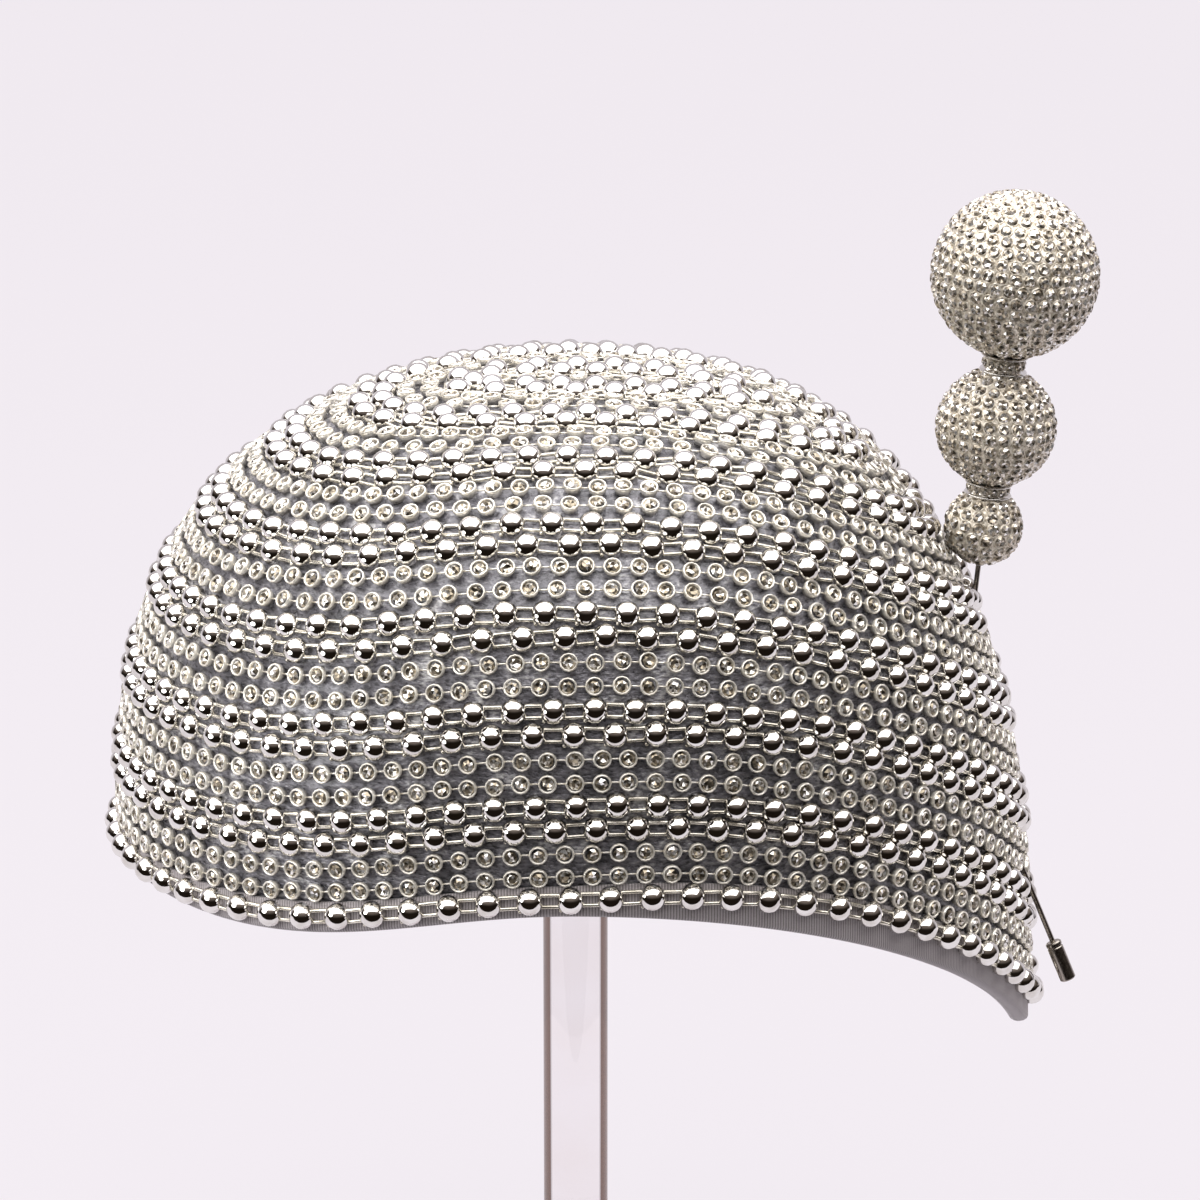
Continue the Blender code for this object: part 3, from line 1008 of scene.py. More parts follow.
def loosened(matrices: np.ndarray, chance: np.random.Generator, shift: float,
             tilt: float, spin: float) -> np.ndarray:
    """Move, tip and spin frames a little, as handwork does.

    Args:
        matrices: the frames.
        chance: source of the moves.
        shift: largest move along the felt, in metres.
        tilt: largest tip, in degrees.
        spin: largest turn about the frame's own Z, in degrees.

    Returns:
        The moved frames.
    """
    moved = []
    for matrix in matrices:
        tip_x, tip_y = np.radians(chance.uniform(-tilt, tilt, 2))
        turn = math.radians(chance.uniform(-spin, spin))
        local = Matrix.Rotation(tip_x, 4, "X") @ Matrix.Rotation(tip_y, 4, "Y")
        local = local @ Matrix.Rotation(turn, 4, "Z")
        local.translation = (*chance.uniform(-shift, shift, 2), 0.0)
        moved.append(matrix @ np.array(local))
    return np.array(moved)


# Hatpin


@dataclass(frozen=True)
class Rondelle:
    """Sizes of a jewelled ring: two thin flanges, and small stones on the waist between.

    The hole, the waist and the chamfer are shares of the ring's radius.
    """

    diameter: float = 0.0110
    gap: float = 0.0003
    flange: float = 0.0005
    hole: float = 0.62
    waist: float = 0.84
    chamfer: float = 0.96
    count: int = 13
    stone: float = 0.0019
    stone_height: float = 0.0004
    shift: float = 0.00005
    tilt: float = 5.0

    def profile(self, bottom: float, top: float) -> list[tuple[float, float]]:
        """Section of the ring.

        Args:
            bottom: height of its lower face.
            top: height of its upper face.

        Returns:
            Radius and height of each point.
        """
        reach = self.diameter / 2.0
        low = [(reach * self.hole, 0.0), (reach * self.chamfer, 0.0),
               (reach, self.flange * 0.4), (reach * self.chamfer, self.flange),
               (reach * self.waist, self.flange * 1.2)]
        return ([(radius, bottom + rise) for radius, rise in low]
                + [(radius, top - rise) for radius, rise in reversed(low)])


@dataclass(frozen=True)
class Hatpin:
    """Three pavé balls and two rondelles on a steel wire with a clutch on its point.

    The entry and the exit of the wire are given by an angle of the edge, in degrees, and the
    share of the way from there to the ridge. The steps are those of the wire's three parts.
    """

    cap: CapShape
    chance: np.random.Generator
    large: float = 0.0381
    medium: float = 0.0275
    small: float = 0.0181
    rondelle: Rondelle = Rondelle()
    upper_height: float = 0.0027
    lower_height: float = 0.0007
    neck: float = 0.0133
    entry_angle: float = 0.0
    entry_share: float = 0.530
    exit_angle: float = -8.8
    exit_share: float = 0.2185
    lean: float = 5.8
    tail_lean: float = 23.5
    tail_turn: float = -15.0
    tail_length: float = 0.0226
    clutch: float = 0.0037
    clutch_length: float = 0.0096
    clutch_bevel: float = 0.0003
    steps: tuple[int, int, int] = (20, 40, 30)
    stone: float = 0.0028
    stone_height: float = 0.00055
    stone_pitch: float = 0.0032
    stone_shift: float = 0.0001
    stone_tilt: float = 5.0
    core_gap: float = 0.0001
    row_pitch: float = 0.0028
    stagger: float = 0.618

    @staticmethod
    def travel(lean: float, turn: float) -> Vector:
        """Direction down the pin, for a lean from the vertical in a turned plane.

        Args:
            lean: lean from the vertical, in degrees.
            turn: turn of the plane of the lean, in degrees.

        Returns:
            The direction.
        """
        tip, way = math.radians(lean), math.radians(turn)
        return Vector((math.sin(tip) * math.cos(way), math.sin(tip) * math.sin(way),
                       -math.cos(tip)))

    @property
    def down(self) -> Vector:
        """Direction down through the balls."""
        return self.travel(-self.lean, 0.0)

    @property
    def down_tail(self) -> Vector:
        """Direction down the tail to the clutch."""
        return self.travel(self.tail_lean, self.tail_turn)

    def on_front(self, angle: float, share: float) -> Vector:
        """Point of the felt at a share of the way from the edge to the ridge.

        Args:
            angle: angle of the edge, in degrees.
            share: share of the way up.

        Returns:
            The point.
        """
        points, _, distances = self.cap.measure(np.array([math.radians(angle)]))
        reach = share * distances[0, -1]
        return Vector([np.interp(reach, distances[0], column) for column in points[0].T])

    def centres(self) -> tuple[Vector, Vector, Vector]:
        """Centres of the small, medium and large balls.

        Returns:
            The three centres, from the lowest up.
        """
        entry = self.on_front(self.entry_angle, self.entry_share)
        low = entry - self.down * (self.neck + self.small / 2.0)
        middle = low - self.down * ((self.small + self.medium) / 2.0 + self.lower_height)
        high = middle - self.down * ((self.medium + self.large) / 2.0 + self.upper_height)
        return low, middle, high

    def route(self) -> np.ndarray:
        """Closely spaced points of the wire, from the small ball to the clutch.

        Returns:
            One row of coordinates for each point.
        """
        entry = self.on_front(self.entry_angle, self.entry_share)
        leave = self.on_front(self.exit_angle, self.exit_share)
        span = (leave - entry).length
        above, inside, tail = self.steps
        line = [entry - self.down * (self.neck * step / above) for step in range(above, 0, -1)]
        for step in range(inside + 1):
            t = step / inside
            line.append(entry * ((1 - t) ** 2 * (1 + 2 * t)) + leave * (t ** 2 * (3 - 2 * t))
                        + self.down * (t * (1 - t) ** 2 * span)
                        - self.down_tail * (t ** 2 * (1 - t) * span))
        line += [leave + self.down_tail * (self.tail_length * step / tail)
                 for step in range(1, tail + 1)]
        return np.array([point[:] for point in line])

    def clear_of(self, matrices: np.ndarray, room: float) -> np.ndarray:
        """The frames that leave the wire some room.

        Args:
            matrices: frames of the shapes.
            room: least distance from the wire.

        Returns:
            The frames that are kept.
        """
        line = self.route()
        gaps = np.linalg.norm(matrices[:, None, :3, 3] - line[None], axis=2).min(axis=1)
        return matrices[gaps > room]

    @staticmethod
    def upright(centre: Vector, axis: Vector) -> Matrix:
        """Frame at a centre with Z along an axis."""
        return Matrix.Translation(centre) @ axis.to_track_quat("Z", "Y").to_matrix().to_4x4()

    @staticmethod
    def collar(radius: float, finish: int) -> Pattern:
        """Raised rim of setting round one stone.

        Args:
            radius: the stone's radius.
            finish: place of its material in the joined mesh.

        Returns:
            The pattern.
        """
        profile = [(radius * share, height) for share, height in COLLAR]
        return Pattern.take(turned(profile, 8, False), finish, True)

    def stone_frames(self, radius: float, centre: Vector) -> np.ndarray:
        """Frames of a ball's stones, in staggered rows round the pin.

        Args:
            radius: radius of the ball at the stones' girdles.
            centre: its centre.

        Returns:
            One frame for each stone, Z outward.
        """
        up = self.upright(centre, -self.down)
        rows = round(math.pi * radius / self.row_pitch)
        frames = []
        for row in range(rows):
            polar = math.pi * (row + 0.5) / rows
            count = max(3, round(FULL_TURN * radius * math.sin(polar) / self.stone_pitch))
            for k in range(count):
                around = FULL_TURN * (k + self.stagger * row) / count
                local = Matrix.Rotation(around, 4, "Z") @ Matrix.Rotation(polar, 4, "Y")
                frames.append(np.array(up @ local @ Matrix.Translation((0, 0, radius))))
        return np.array(frames)

    def ball(self, name: str, centre: Vector, diameter: float,
             materials: list[bpy.types.Material]) -> None:
        """Build one ball in its setting.

        Args:
            name: the ball's node, which the piece stands for.
            centre: its centre.
            diameter: its diameter over the stones.
            materials: the stone's and the setting's.
        """
        radius = self.stone / 2.0
        girdle = diameter / 2.0 - self.stone_height
        core = bmesh.new()
        bmesh.ops.create_uvsphere(core, u_segments=48, v_segments=24,
                                  radius=girdle - self.core_gap)
        core_place = np.array([np.array(self.upright(centre, -self.down))])
        rims = self.stone_frames(girdle, centre)
        stones = loosened(rims, self.chance, self.stone_shift, self.stone_tilt, ANY_WAY)
        piece = strew(f"{name}_pave", [(Pattern.take(core, 1, True), core_place),
                                       (StoneCut(radius, self.stone_height).pattern(0), stones),
                                       (self.collar(radius, 1), rims)],
                      materials, self.chance)
        seat(piece, name)

    def ring(self, name: str, low: Vector, low_radius: float, high: Vector, high_radius: float,
             materials: list[bpy.types.Material]) -> None:
        """Build one rondelle between two balls.

        Args:
            name: the rondelle's node, which the piece stands for.
            low: centre of the ball below.
            low_radius: its radius.
            high: centre of the ball above.
            high_radius: its radius.
            materials: the stone's, the setting's and the flange's.
        """
        ring = self.rondelle
        reach, size = ring.diameter / 2.0, ring.stone / 2.0
        bottom = math.sqrt(low_radius ** 2 - reach ** 2) + ring.gap
        top = (high - low).length - math.sqrt(high_radius ** 2 - reach ** 2) - ring.gap
        body = Pattern.take(turned(ring.profile(bottom, top), 40, True), 2, True)
        place = self.upright(low, -self.down)
        lift = Matrix.Translation((0, 0, (bottom + top) / 2.0))
        out = (Matrix.Rotation(math.pi / 2.0, 4, "Y")
               @ Matrix.Translation((0, 0, reach * ring.waist)))
        frames = np.array([place @ lift @ Matrix.Rotation(FULL_TURN * k / ring.count, 4, "Z")
                           @ out for k in range(ring.count)])
        stones = loosened(frames, self.chance, ring.shift, ring.tilt, ANY_WAY)
        piece = strew(f"{name}_set", [(body, np.array([np.array(place)])),
                                      (StoneCut(size, ring.stone_height).pattern(0), stones),
                                      (self.collar(size, 1), frames)],
                      materials, self.chance)
        seat(piece, name)

    def build(self) -> None:
        """Build the pin's pieces and finish its wire."""
        materials = [PaveStone().build(), PavePaste().build(),
                     SilverPlate("flange_plate").build()]
        centres, sizes = self.centres(), (self.small, self.medium, self.large)
        for name, centre, size in zip(("small", "medium", "large"), centres, sizes):
            self.ball(f"pin_ball_{name}", centre, size, materials)
        for k, name in enumerate(("lower", "upper")):
            self.ring(f"pin_rondelle_{name}", centres[k], sizes[k] / 2.0,
                      centres[k + 1], sizes[k + 1] / 2.0, materials)
        steel = DrawnSteel().build()
        self.build_clutch(steel)
        dress_node("pin_wire", steel)

    def build_clutch(self, steel: bpy.types.Material) -> None:
        """Turn the clutch with its bevelled ends.

        Args:
            steel: the pin's material.
        """
        top = self.on_front(self.exit_angle, self.exit_share) + self.down_tail * self.tail_length
        radius, length, bevel = self.clutch / 2.0, self.clutch_length, self.clutch_bevel
        profile = [(0.0, 0.0), (radius - bevel, 0.0), (radius, bevel), (radius, bevel * 3.0),
                   (radius - bevel * 0.5, bevel * 3.6), (radius - bevel * 0.5, bevel * 4.4),
                   (radius, bevel * 5.0), (radius, length - bevel), (radius - bevel, length),
                   (0.0, length)]
        bm = turned(profile, 32, False)
        place = self.upright(top, self.down_tail)
        bmesh.ops.transform(bm, matrix=place, verts=bm.verts)
        seat(from_bmesh("pin_clutch_turned", bm, [steel], 30.0), "pin_clutch")


# Cap and trims


@dataclass(frozen=True)
class FeltCap:
    """Hollow felt dome under its glossy film."""

    cap: CapShape
    around: int = 240
    upward: int = 64
    merge: float = 0.00001

    def build(self) -> None:
        """Build the dome from a bent grid and give it its wall."""
        bm = bmesh.new()
        bmesh.ops.create_grid(bm, x_segments=self.around, y_segments=self.upward, size=0.5)
        flat = np.array([vert.co[:] for vert in bm.verts]) + 0.5
        run = 1.0 - np.cos(flat[:, 1] * math.pi / 2.0)
        points = self.cap.point(flat[:, 0] * FULL_TURN, run)
        for vert, point in zip(bm.verts, points):
            vert.co = point
        bmesh.ops.remove_doubles(bm, verts=bm.verts, dist=self.merge)
        bmesh.ops.recalc_face_normals(bm, faces=bm.faces)
        if sum(face.normal.z * face.calc_area() for face in bm.faces) < 0.0:
            bmesh.ops.reverse_faces(bm, faces=bm.faces)
        piece = from_bmesh("felt_cap", bm, [FilmedFelt().build(), PlainFelt().build()], 60.0)
        wall = piece.modifiers.new("wall", "SOLIDIFY")
        wall.thickness = self.cap.wall
        wall.offset = -1.0
        wall.use_even_offset = True
        wall.material_offset = 1
        wall.material_offset_rim = 1
        seat(piece, "cap_shell")


@dataclass(frozen=True)
class EdgeRibbon:
    """Corded ribbon folded round the edge, its ribs real."""

    cap: CapShape
    layout: TrimLayout
    rib_pitch: float = 0.00065
    rib_depth: float = 0.00016
    merge: float = 0.000005

    def section(self) -> list[tuple[float, float]]:
        """Distance and lift of each point across the ribbon, outside to inside.

        Returns:
            The pairs of distance and lift.
        """
        far = self.layout.fit_gap + self.layout.binding_thickness
        width, middle = self.layout.binding_width, -self.cap.wall / 2.0
        outside = [(width, self.layout.fit_gap)]
        outside += [(width * share, far) for share in (1.0, 0.6, 0.2)]
        fold = [(-far * math.sin(angle), middle + (far - middle) * math.cos(angle))
                for angle in map(math.radians, range(0, 181, 30))]
        inside = [(distance, 2.0 * middle - lift) for distance, lift in reversed(outside)]
        return outside + fold + inside

    def build(self) -> None:
        """Bend a ribbed grid round the edge."""
        section = self.section()
        loop = Loop(self.cap, 0.0)
        around = 2 * loop.count(self.rib_pitch)
        columns = self.cap.columns(loop.spaced(around, 0.0))
        crest = np.where(np.arange(around) % 2 == 0, 1.0, 0.0)
        rows = []
        for distance, lift in section:
            points, normals = columns.place(distance, lift)
            out = 1.0 if lift > -self.cap.wall / 2.0 else -1.0
            rows.append(points - normals * ((1.0 - crest) * self.rib_depth * out)[:, None])
        table = np.array(rows)
        bm = bmesh.new()
        shades = bm.verts.layers.float.new(RIB)
        bmesh.ops.create_grid(bm, x_segments=around, y_segments=len(section) - 1, size=0.5)
        for vert in bm.verts:
            column = round((vert.co.x + 0.5) * around) % around
            row = round((vert.co.y + 0.5) * (len(section) - 1))
            vert.co = table[row, column]
            vert[shades] = crest[column]
        bmesh.ops.remove_doubles(bm, verts=bm.verts, dist=self.merge)
        bmesh.ops.recalc_face_normals(bm, faces=bm.faces)
        piece = from_bmesh("edge_ribbon", bm, [Grosgrain().build()], 80.0)
        seat(piece, "edge_binding")


@dataclass(frozen=True)
class BallTrims:
    """Row of balls at the edge and the double rows above it, on their wire links.

    Each row shifts and spins its balls, and shifts, tips and spins its links, a little. A
    knuckle sits below its row, back from the ball by a share of the pitch. Room is what a shape
    leaves the pin's wire.
    """

    cap: CapShape
    layout: TrimLayout
    pin: Hatpin
    chance: np.random.Generator
    pitch: float = 0.0087
    radius: float = 0.0030
    link_half_length: float = 0.0026
    link_half_height: float = 0.0014
    link_corner: float = 0.0009
    link_wire: float = 0.00050
    sunk: float = 0.00125
    ball_shift: float = 0.00012
    ball_room: float = 0.0008
    link_shift: float = 0.0001
    link_tilt: float = 4.0
    link_spin: float = 3.0
    link_room: float = 0.0022
    knuckle_radius: float = 0.00055
    knuckle_back: float = 0.22
    knuckle_drop: float = 0.0021
    knuckle_room: float = 0.0015

    def ball(self) -> Pattern:
        """One ball, its pole outward, cut off just under the felt that it is sunk in.

        Returns:
            The pattern.
        """
        bm = bmesh.new()
        bmesh.ops.create_uvsphere(bm, u_segments=16, v_segments=8, radius=self.radius)
        bmesh.ops.bisect_plane(bm, geom=[*bm.verts, *bm.edges, *bm.faces], dist=MERGE / 2.0,
                               plane_co=(0, 0, -self.sunk), plane_no=(0, 0, -1),
                               clear_outer=True)
        bmesh.ops.holes_fill(bm, edges=bm.edges, sides=0)
        return Pattern.take(bm, 0, True)

    def link(self) -> Pattern:
        """Rounded wire frame that joins two balls of a row.

        Returns:
            The pattern.
        """
        ring = [(self.link_corner + self.link_wire * math.cos(math.radians(turn)),
                 self.link_wire * math.sin(math.radians(turn))) for turn in range(0, 360, 72)]
        bm = turned(ring, 8, True)
        bmesh.ops.rotate(bm, verts=bm.verts, cent=(0, 0, 0),
                         matrix=Matrix.Rotation(math.pi / 8.0, 3, "Z"))
        for vert in bm.verts:
            vert.co.x += math.copysign(self.link_half_length - self.link_corner, vert.co.x)
            vert.co.y += math.copysign(self.link_half_height - self.link_corner, vert.co.y)
        return Pattern.take(bm, 1, True)

    def knuckle(self) -> Pattern:
        """Small solder bead beside a ball.

        Returns:
            The pattern.
        """
        bm = bmesh.new()
        bmesh.ops.create_uvsphere(bm, u_segments=6, v_segments=4, radius=self.knuckle_radius)
        return Pattern.take(bm, 1, True)

    def row(self, loop: Loop, count: int, phase: float, distance: float, lift: float,
            ease: float) -> list[tuple[Pattern, np.ndarray]]:
        """Balls, links and knuckles of one row.

        Args:
            loop: the line that spaces them.
            count: how many balls.
            phase: share of a space by which the balls are moved on.
            distance: place of the row up the cap.
            lift: height of the balls' centres above the felt.
            ease: how loosely they lie, 1 at the edge of the cap.

        Returns:
            Patterns with their places.
        """
        balls = frames_at(self.cap, loop.spaced(count, phase), distance, lift)
        links = frames_at(self.cap, loop.spaced(count, phase + 0.5), distance, lift)
        knuckles = frames_at(self.cap, loop.spaced(count, phase - self.knuckle_back),
                             distance - self.knuckle_drop, lift)
        balls = loosened(balls, self.chance, self.ball_shift * ease, 0.0, ANY_WAY)
        links = loosened(links, self.chance, self.link_shift * ease, self.link_tilt * ease,
                         self.link_spin * ease)
        balls = self.pin.clear_of(balls, self.layout.ball / 2.0 + self.ball_room)
        return [(self.ball(), balls),
                (self.link(), self.pin.clear_of(links, self.link_room)),
                (self.knuckle(), self.pin.clear_of(knuckles, self.knuckle_room))]

    def build(self) -> None:
        """Build the row at the edge and the double rows."""
        metals = [SilverPlate().build(), LinkMetal().build()]
        layout = self.layout
        place = layout.binding_width - layout.ball / 2.0
        lift = layout.ball_lift + layout.fit_gap + layout.binding_thickness
        loop = Loop(self.cap, place)
        rim = strew("rim_balls", self.row(loop, loop.count(self.pitch), 0.0, place, lift, 1.0),
                    metals, self.chance)
        seat(rim, "rim_beads")
        for index in range(layout.count):
            low, high = layout.ball_pair(index)
            loop = Loop(self.cap, (low + high) / 2.0)
            count = loop.count(self.pitch)
            lift, ease = layout.ball_lift, layout.ease(index)
            rows = (self.row(loop, count, 0.0, low, lift, ease)
                    + self.row(loop, count, 0.5, high, lift, ease))
            piece = strew(f"ball_rows_{index + 1}", rows, metals, self.chance)
            seat(piece, f"bead_trim_{index + 1}")


@dataclass(frozen=True)
class StoneTrims:
    """Double rows of set stones between the balls, and the row along the ridge.

    A stone's fit is the clearance to the cup's wall as a share of the lip, and its seat the
    share of the cup's height at which its girdle lies. Room is what a shape leaves the
    pin's wire.
    """

    cap: CapShape
    layout: TrimLayout
    pin: Hatpin
    chance: np.random.Generator
    pitch: float = 0.0057
    cup_height: float = 0.0020
    cup_shift: float = 0.00008
    cup_tilt: float = 3.0
    cup_room: float = 0.0008
    lip: float = 0.00050
    stone_height: float = 0.0006
    stone_fit: float = 1.15
    stone_seat: float = 0.72
    stone_tilt: float = 13.0
    bar_radius: float = 0.00022
    bar_length: float = 0.0024
    bar_lift: float = 0.0008
    bar_room: float = 0.0015

    def cup(self) -> Pattern:
        """One cup, its lip rounded, standing on height 0.

        Returns:
            The pattern.
        """
        outer, height, lip = self.layout.cup / 2.0, self.cup_height, self.lip
        profile = [(outer * 0.86, 0.0), (outer, height * 0.6), (outer * 0.96, height * 0.92),
                   (outer - lip * 0.55, height), (outer - lip, height * 0.86),
                   (outer - lip * 1.1, height * 0.5)]
        return Pattern.take(turned(profile, 12, True), 0, True)

    def stone(self) -> Pattern:
        """The stone that sits in a cup.

        Returns:
            The pattern.
        """
        radius = self.layout.cup / 2.0 - self.lip * self.stone_fit
        shape = StoneCut(radius, self.stone_height).pattern(1)
        seat_height = np.array([0.0, 0.0, self.cup_height * self.stone_seat])
        return replace(shape, points=shape.points + seat_height)

    def bar(self) -> Pattern:
        """Short bar between two cups.

        Returns:
            The pattern.
        """
        bm = bmesh.new()
        bmesh.ops.create_cone(bm, cap_ends=True, segments=6, radius1=self.bar_radius,
                              radius2=self.bar_radius, depth=self.bar_length)
        bmesh.ops.rotate(bm, verts=bm.verts, cent=(0, 0, 0),
                         matrix=Matrix.Rotation(math.pi / 2.0, 3, "Y"))
        return Pattern.take(bm, 0, True)

    def row(self, places: np.ndarray, bars: np.ndarray,
            ease: float) -> list[tuple[Pattern, np.ndarray]]:
        """Cups, stones and bars at their frames.

        Args:
            places: frames of the cups.
            bars: frames of the bars.
            ease: how loosely the cups lie, 1 at the edge of the cap.

        Returns:
            Patterns with their places.
        """
        places = self.pin.clear_of(places, self.layout.cup / 2.0 + self.cup_room)
        cups = loosened(places, self.chance, self.cup_shift * ease, self.cup_tilt * ease, 0.0)
        stones = loosened(cups, self.chance, 0.0, self.stone_tilt, ANY_WAY)
        return [(self.cup(), cups), (self.stone(), stones),
                (self.bar(), self.pin.clear_of(bars, self.bar_room))]

    def ridge_row(self, materials: list[bpy.types.Material]) -> None:
        """Build the single row along the ridge of the crown.

        Args:
            materials: the cups' and the stones'.
        """
        cap = self.cap
        ends = cap.ridge_place(np.array([math.pi, 0.0]))
        count = round((ends[1] - ends[0]) / self.pitch) + 1
        frames, bars, step = [], [], 0.001
        for k in range(2 * count - 1):
            x = ends[0] + (ends[1] - ends[0]) * k / (2 * count - 2)
            z = float(cap.height(np.array(x), np.array(0.0)))
            rise = float(cap.height(np.array(x + step), np.array(0.0))) - z
            turn = Matrix.Rotation(-math.atan2(rise, step), 4, "Y")
            lift = self.layout.fit_gap + (self.bar_lift if k % 2 else 0.0)
            place = Matrix.Translation((x, 0.0, z)) @ turn @ Matrix.Translation((0, 0, lift))
            (bars if k % 2 else frames).append(np.array(place))
        ease = self.layout.ease(self.layout.count)
        piece = strew("ridge_stones", self.row(np.array(frames), np.array(bars), ease),
                      materials, self.chance)
        seat(piece, "crown_stones")

    def build(self) -> None:
        """Build the double rows and the row on the ridge."""
        materials = [CupMetal().build(), CutStone().build()]
        for index in range(self.layout.count):
            rows = []
            low, high = self.layout.stone_rows(index)
            loop = Loop(self.cap, (low + high) / 2.0)
            count = loop.count(self.pitch)
            for distance in (low, high):
                cups = frames_at(self.cap, loop.spaced(count, 0.0), distance,
                                 self.layout.fit_gap)
                bars = frames_at(self.cap, loop.spaced(count, 0.5), distance,
                                 self.layout.fit_gap + self.bar_lift)
                rows += self.row(cups, bars, self.layout.ease(index))
            piece = strew(f"stone_rows_{index + 1}", rows, materials, self.chance)
            seat(piece, f"stone_trim_{index + 1}")
        self.ridge_row(materials)


# Stand


@dataclass(frozen=True)
class DisplayStand:
    """Clear base and rod, and the finish of the clear rest."""

    cap: CapShape
    base_radius: float = 0.0700
    base_thickness: float = 0.0120
    base_bevel: float = 0.0015
    post_radius: float = 0.0075
    post_edge: float = 0.0004
    sides: int = 96
    rest_gap: float = 0.0007
    rest_thickness: float = 0.0050
    gap: float = 0.0003

    def build(self) -> None:
        """Turn the base and the rod, and finish the rest."""
        acrylic = ClearAcrylic().build()
        radius, top, bevel = self.base_radius, self.base_thickness, self.base_bevel
        profile = [(0.0, 0.0)]
        for centre, start in ((bevel, -90), (top - bevel, 0)):
            for turn in range(start, start + 91, 30):
                angle = math.radians(turn)
                profile.append((radius - bevel + bevel * math.cos(angle),
                                centre + bevel * math.sin(angle)))
        profile.append((0.0, top))
        base = from_bmesh("stand_foot", turned(profile, self.sides, False), [acrylic])
        seat(base, "stand_base")
        low = top + self.gap
        high = (self.cap.crown_height - self.cap.wall - self.rest_gap - self.rest_thickness
                - self.gap)
        radius, edge = self.post_radius, self.post_edge
        rod = [(0.0, low), (radius - edge, low), (radius, low + edge),
               (radius, high - edge), (radius - edge, high), (0.0, high)]
        post = from_bmesh("stand_rod", turned(rod, self.sides, False), [RodAcrylic().build()])
        seat(post, "stand_post")
        dress_node("hat_rest", acrylic)


# Studio


class LampShape(Enum):
    """Outline of a lamp's face."""

    SQUARE = "RECTANGLE"
    OVAL = "ELLIPSE"

    @property
    def fill(self) -> float:
        """Share of its bounding rectangle that the face fills."""
        return 1.0 if self is LampShape.SQUARE else math.pi / 4.0


@dataclass(frozen=True)
class Lamp:
    """One soft light: its face, its centre, the point it faces and its brightness."""

    name: str
    shape: LampShape
    size: Span
    place: Point
    aim: Point
    radiance: float
    mirrored: bool = True

    def hang(self) -> None:
        """Hang it in the scene, out of the camera's sight."""
        data = bpy.data.lights.new(self.name, "AREA")
        data.shape = self.shape.value
        data.size, data.size_y = self.size
        data.energy = self.radiance * math.pi * self.size[0] * self.size[1] * self.shape.fill
        lamp = bpy.data.objects.new(self.name, data)
        lamp.location = self.place
        way = Vector(self.aim) - Vector(self.place)
        lamp.rotation_euler = way.to_track_quat("-Z", "Y").to_euler()
        lamp.visible_camera = False
        lamp.visible_glossy = self.mirrored
        bpy.context.scene.collection.objects.link(lamp)


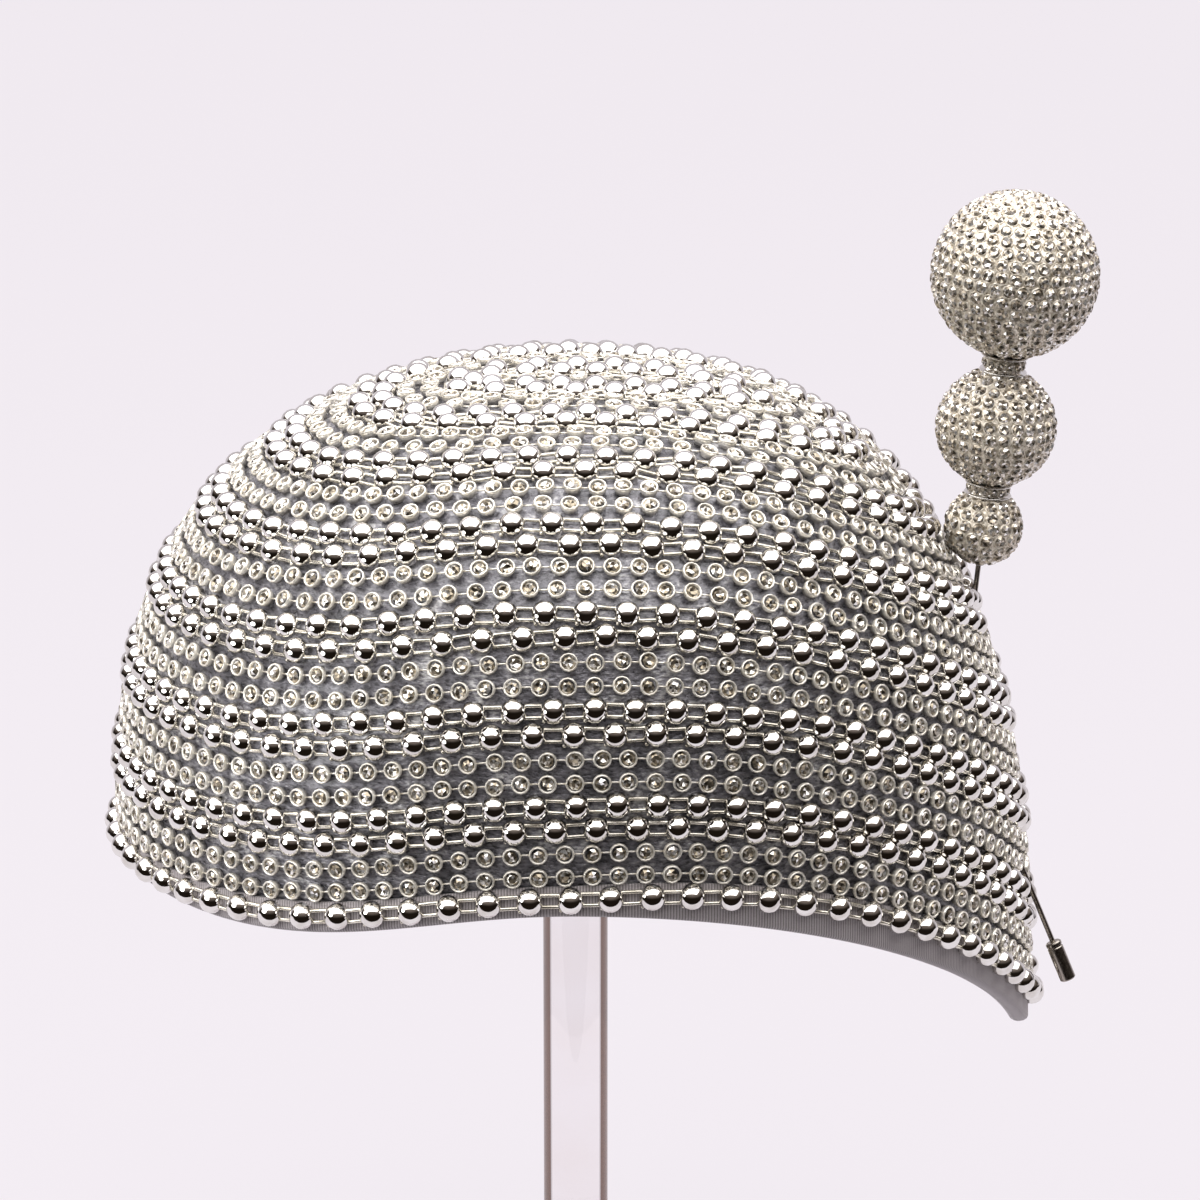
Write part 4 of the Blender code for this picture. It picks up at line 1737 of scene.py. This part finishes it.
@dataclass(frozen=True)
class Studio:
    """Pale table, soft overhead light and the camera at the photograph's angle.

    The room is given by screen colours: dark in front of the table, brighter up to the
    ceiling, and pale behind it. Each pair of numbers is where such a change starts and ends.
    """

    target: Point = (0.0057, 0.0, 0.1898)
    distance: float = 1.3
    elevation: float = 16.85
    view_width: float = 0.2736
    sensor: float = 36.0
    sight: Span = (0.05, 30.0)
    dark: str = "#1d1712"
    ceiling: str = "#8d817a"
    wall: str = "#d6d0d6"
    to_ceiling: Span = (0.0, 0.75)
    to_wall: Span = (0.2, 0.6)
    table_half_width: float = 1.5
    front_edge: float = -0.21
    lamps: tuple[Lamp, ...] = (
        Lamp("overhead", LampShape.SQUARE, (3.0, 1.9), (-0.25, -0.20, 1.17),
             (-0.25, -0.20, 0.0), 2.65),
        Lamp("side_lamp", LampShape.OVAL, (0.078, 0.056), (-0.140, -0.120, 0.185),
             (-0.03, -0.05, 0.172), 5.0),
        Lamp("front_fill", LampShape.SQUARE, (1.2, 1.2), (-0.6, -1.7, 0.9),
             (0.0, 0.0, 0.17), 2.2, mirrored=False))

    def camera(self) -> None:
        """Stand the camera at the photograph's angle."""
        data = bpy.data.cameras.new("camera")
        data.sensor_width = self.sensor
        data.lens = self.sensor * self.distance / self.view_width
        data.clip_start, data.clip_end = self.sight
        camera = bpy.data.objects.new("camera", data)
        tip = math.radians(self.elevation)
        back = Vector((0.0, -math.cos(tip), math.sin(tip)))
        camera.location = Vector(self.target) + back * self.distance
        camera.rotation_euler = (-back).to_track_quat("-Z", "Y").to_euler()
        bpy.context.scene.collection.objects.link(camera)
        bpy.context.scene.camera = camera

    def floor(self) -> None:
        """Lay the pale table that is also the background."""
        bm = bmesh.new()
        half = self.table_half_width
        bmesh.ops.create_grid(bm, x_segments=8, y_segments=8, size=half)
        bmesh.ops.translate(bm, verts=bm.verts, vec=(0.0, half + self.front_edge, 0.0))
        from_bmesh("table", bm, [TablePaint().build()])

    def world(self) -> None:
        """Dark room in front of the table, pale wall behind it."""
        world = bpy.data.worlds.new("room")
        world.use_nodes = True
        tree = world.node_tree
        shader = tree.nodes["Background"]
        way = add_node(tree, "ShaderNodeTexCoord").outputs["Generated"]
        parts = add_node(tree, "ShaderNodeSeparateXYZ", {0: way})
        rise, back = (spread(tree, parts.outputs[axis], (0.0, 1.0), change, "SMOOTHSTEP")
                      for axis, change in (("Z", self.to_ceiling), ("Y", self.to_wall)))
        room = blend(tree, back, blend(tree, rise, self.dark, self.ceiling), self.wall)
        seen = add_node(tree, "ShaderNodeLightPath").outputs["Is Camera Ray"]
        tree.links.new(blend(tree, seen, room, PALE), shader.inputs["Color"])
        shader.inputs["Strength"].default_value = 1.0
        bpy.context.scene.world = world

    def build(self) -> None:
        """Set the whole studio up."""
        bpy.context.scene.view_settings.view_transform = "Standard"
        self.camera()
        self.floor()
        self.world()
        for lamp in self.lamps:
            lamp.hang()


def main() -> None:
    """Build the studio, the cap, its trims, the pin and the stand."""
    logging.basicConfig(level=logging.INFO, format="%(message)s")
    cap = CapShape()
    layout = TrimLayout(cap)
    pin = Hatpin(cap, np.random.default_rng(PIN_SEED))
    Studio().build()
    FeltCap(cap).build()
    EdgeRibbon(cap, layout).build()
    BallTrims(cap, layout, pin, np.random.default_rng(BALL_SEED)).build()
    StoneTrims(cap, layout, pin, np.random.default_rng(STONE_SEED)).build()
    pin.build()
    DisplayStand(cap).build()


if __name__ == "__main__":
    main()
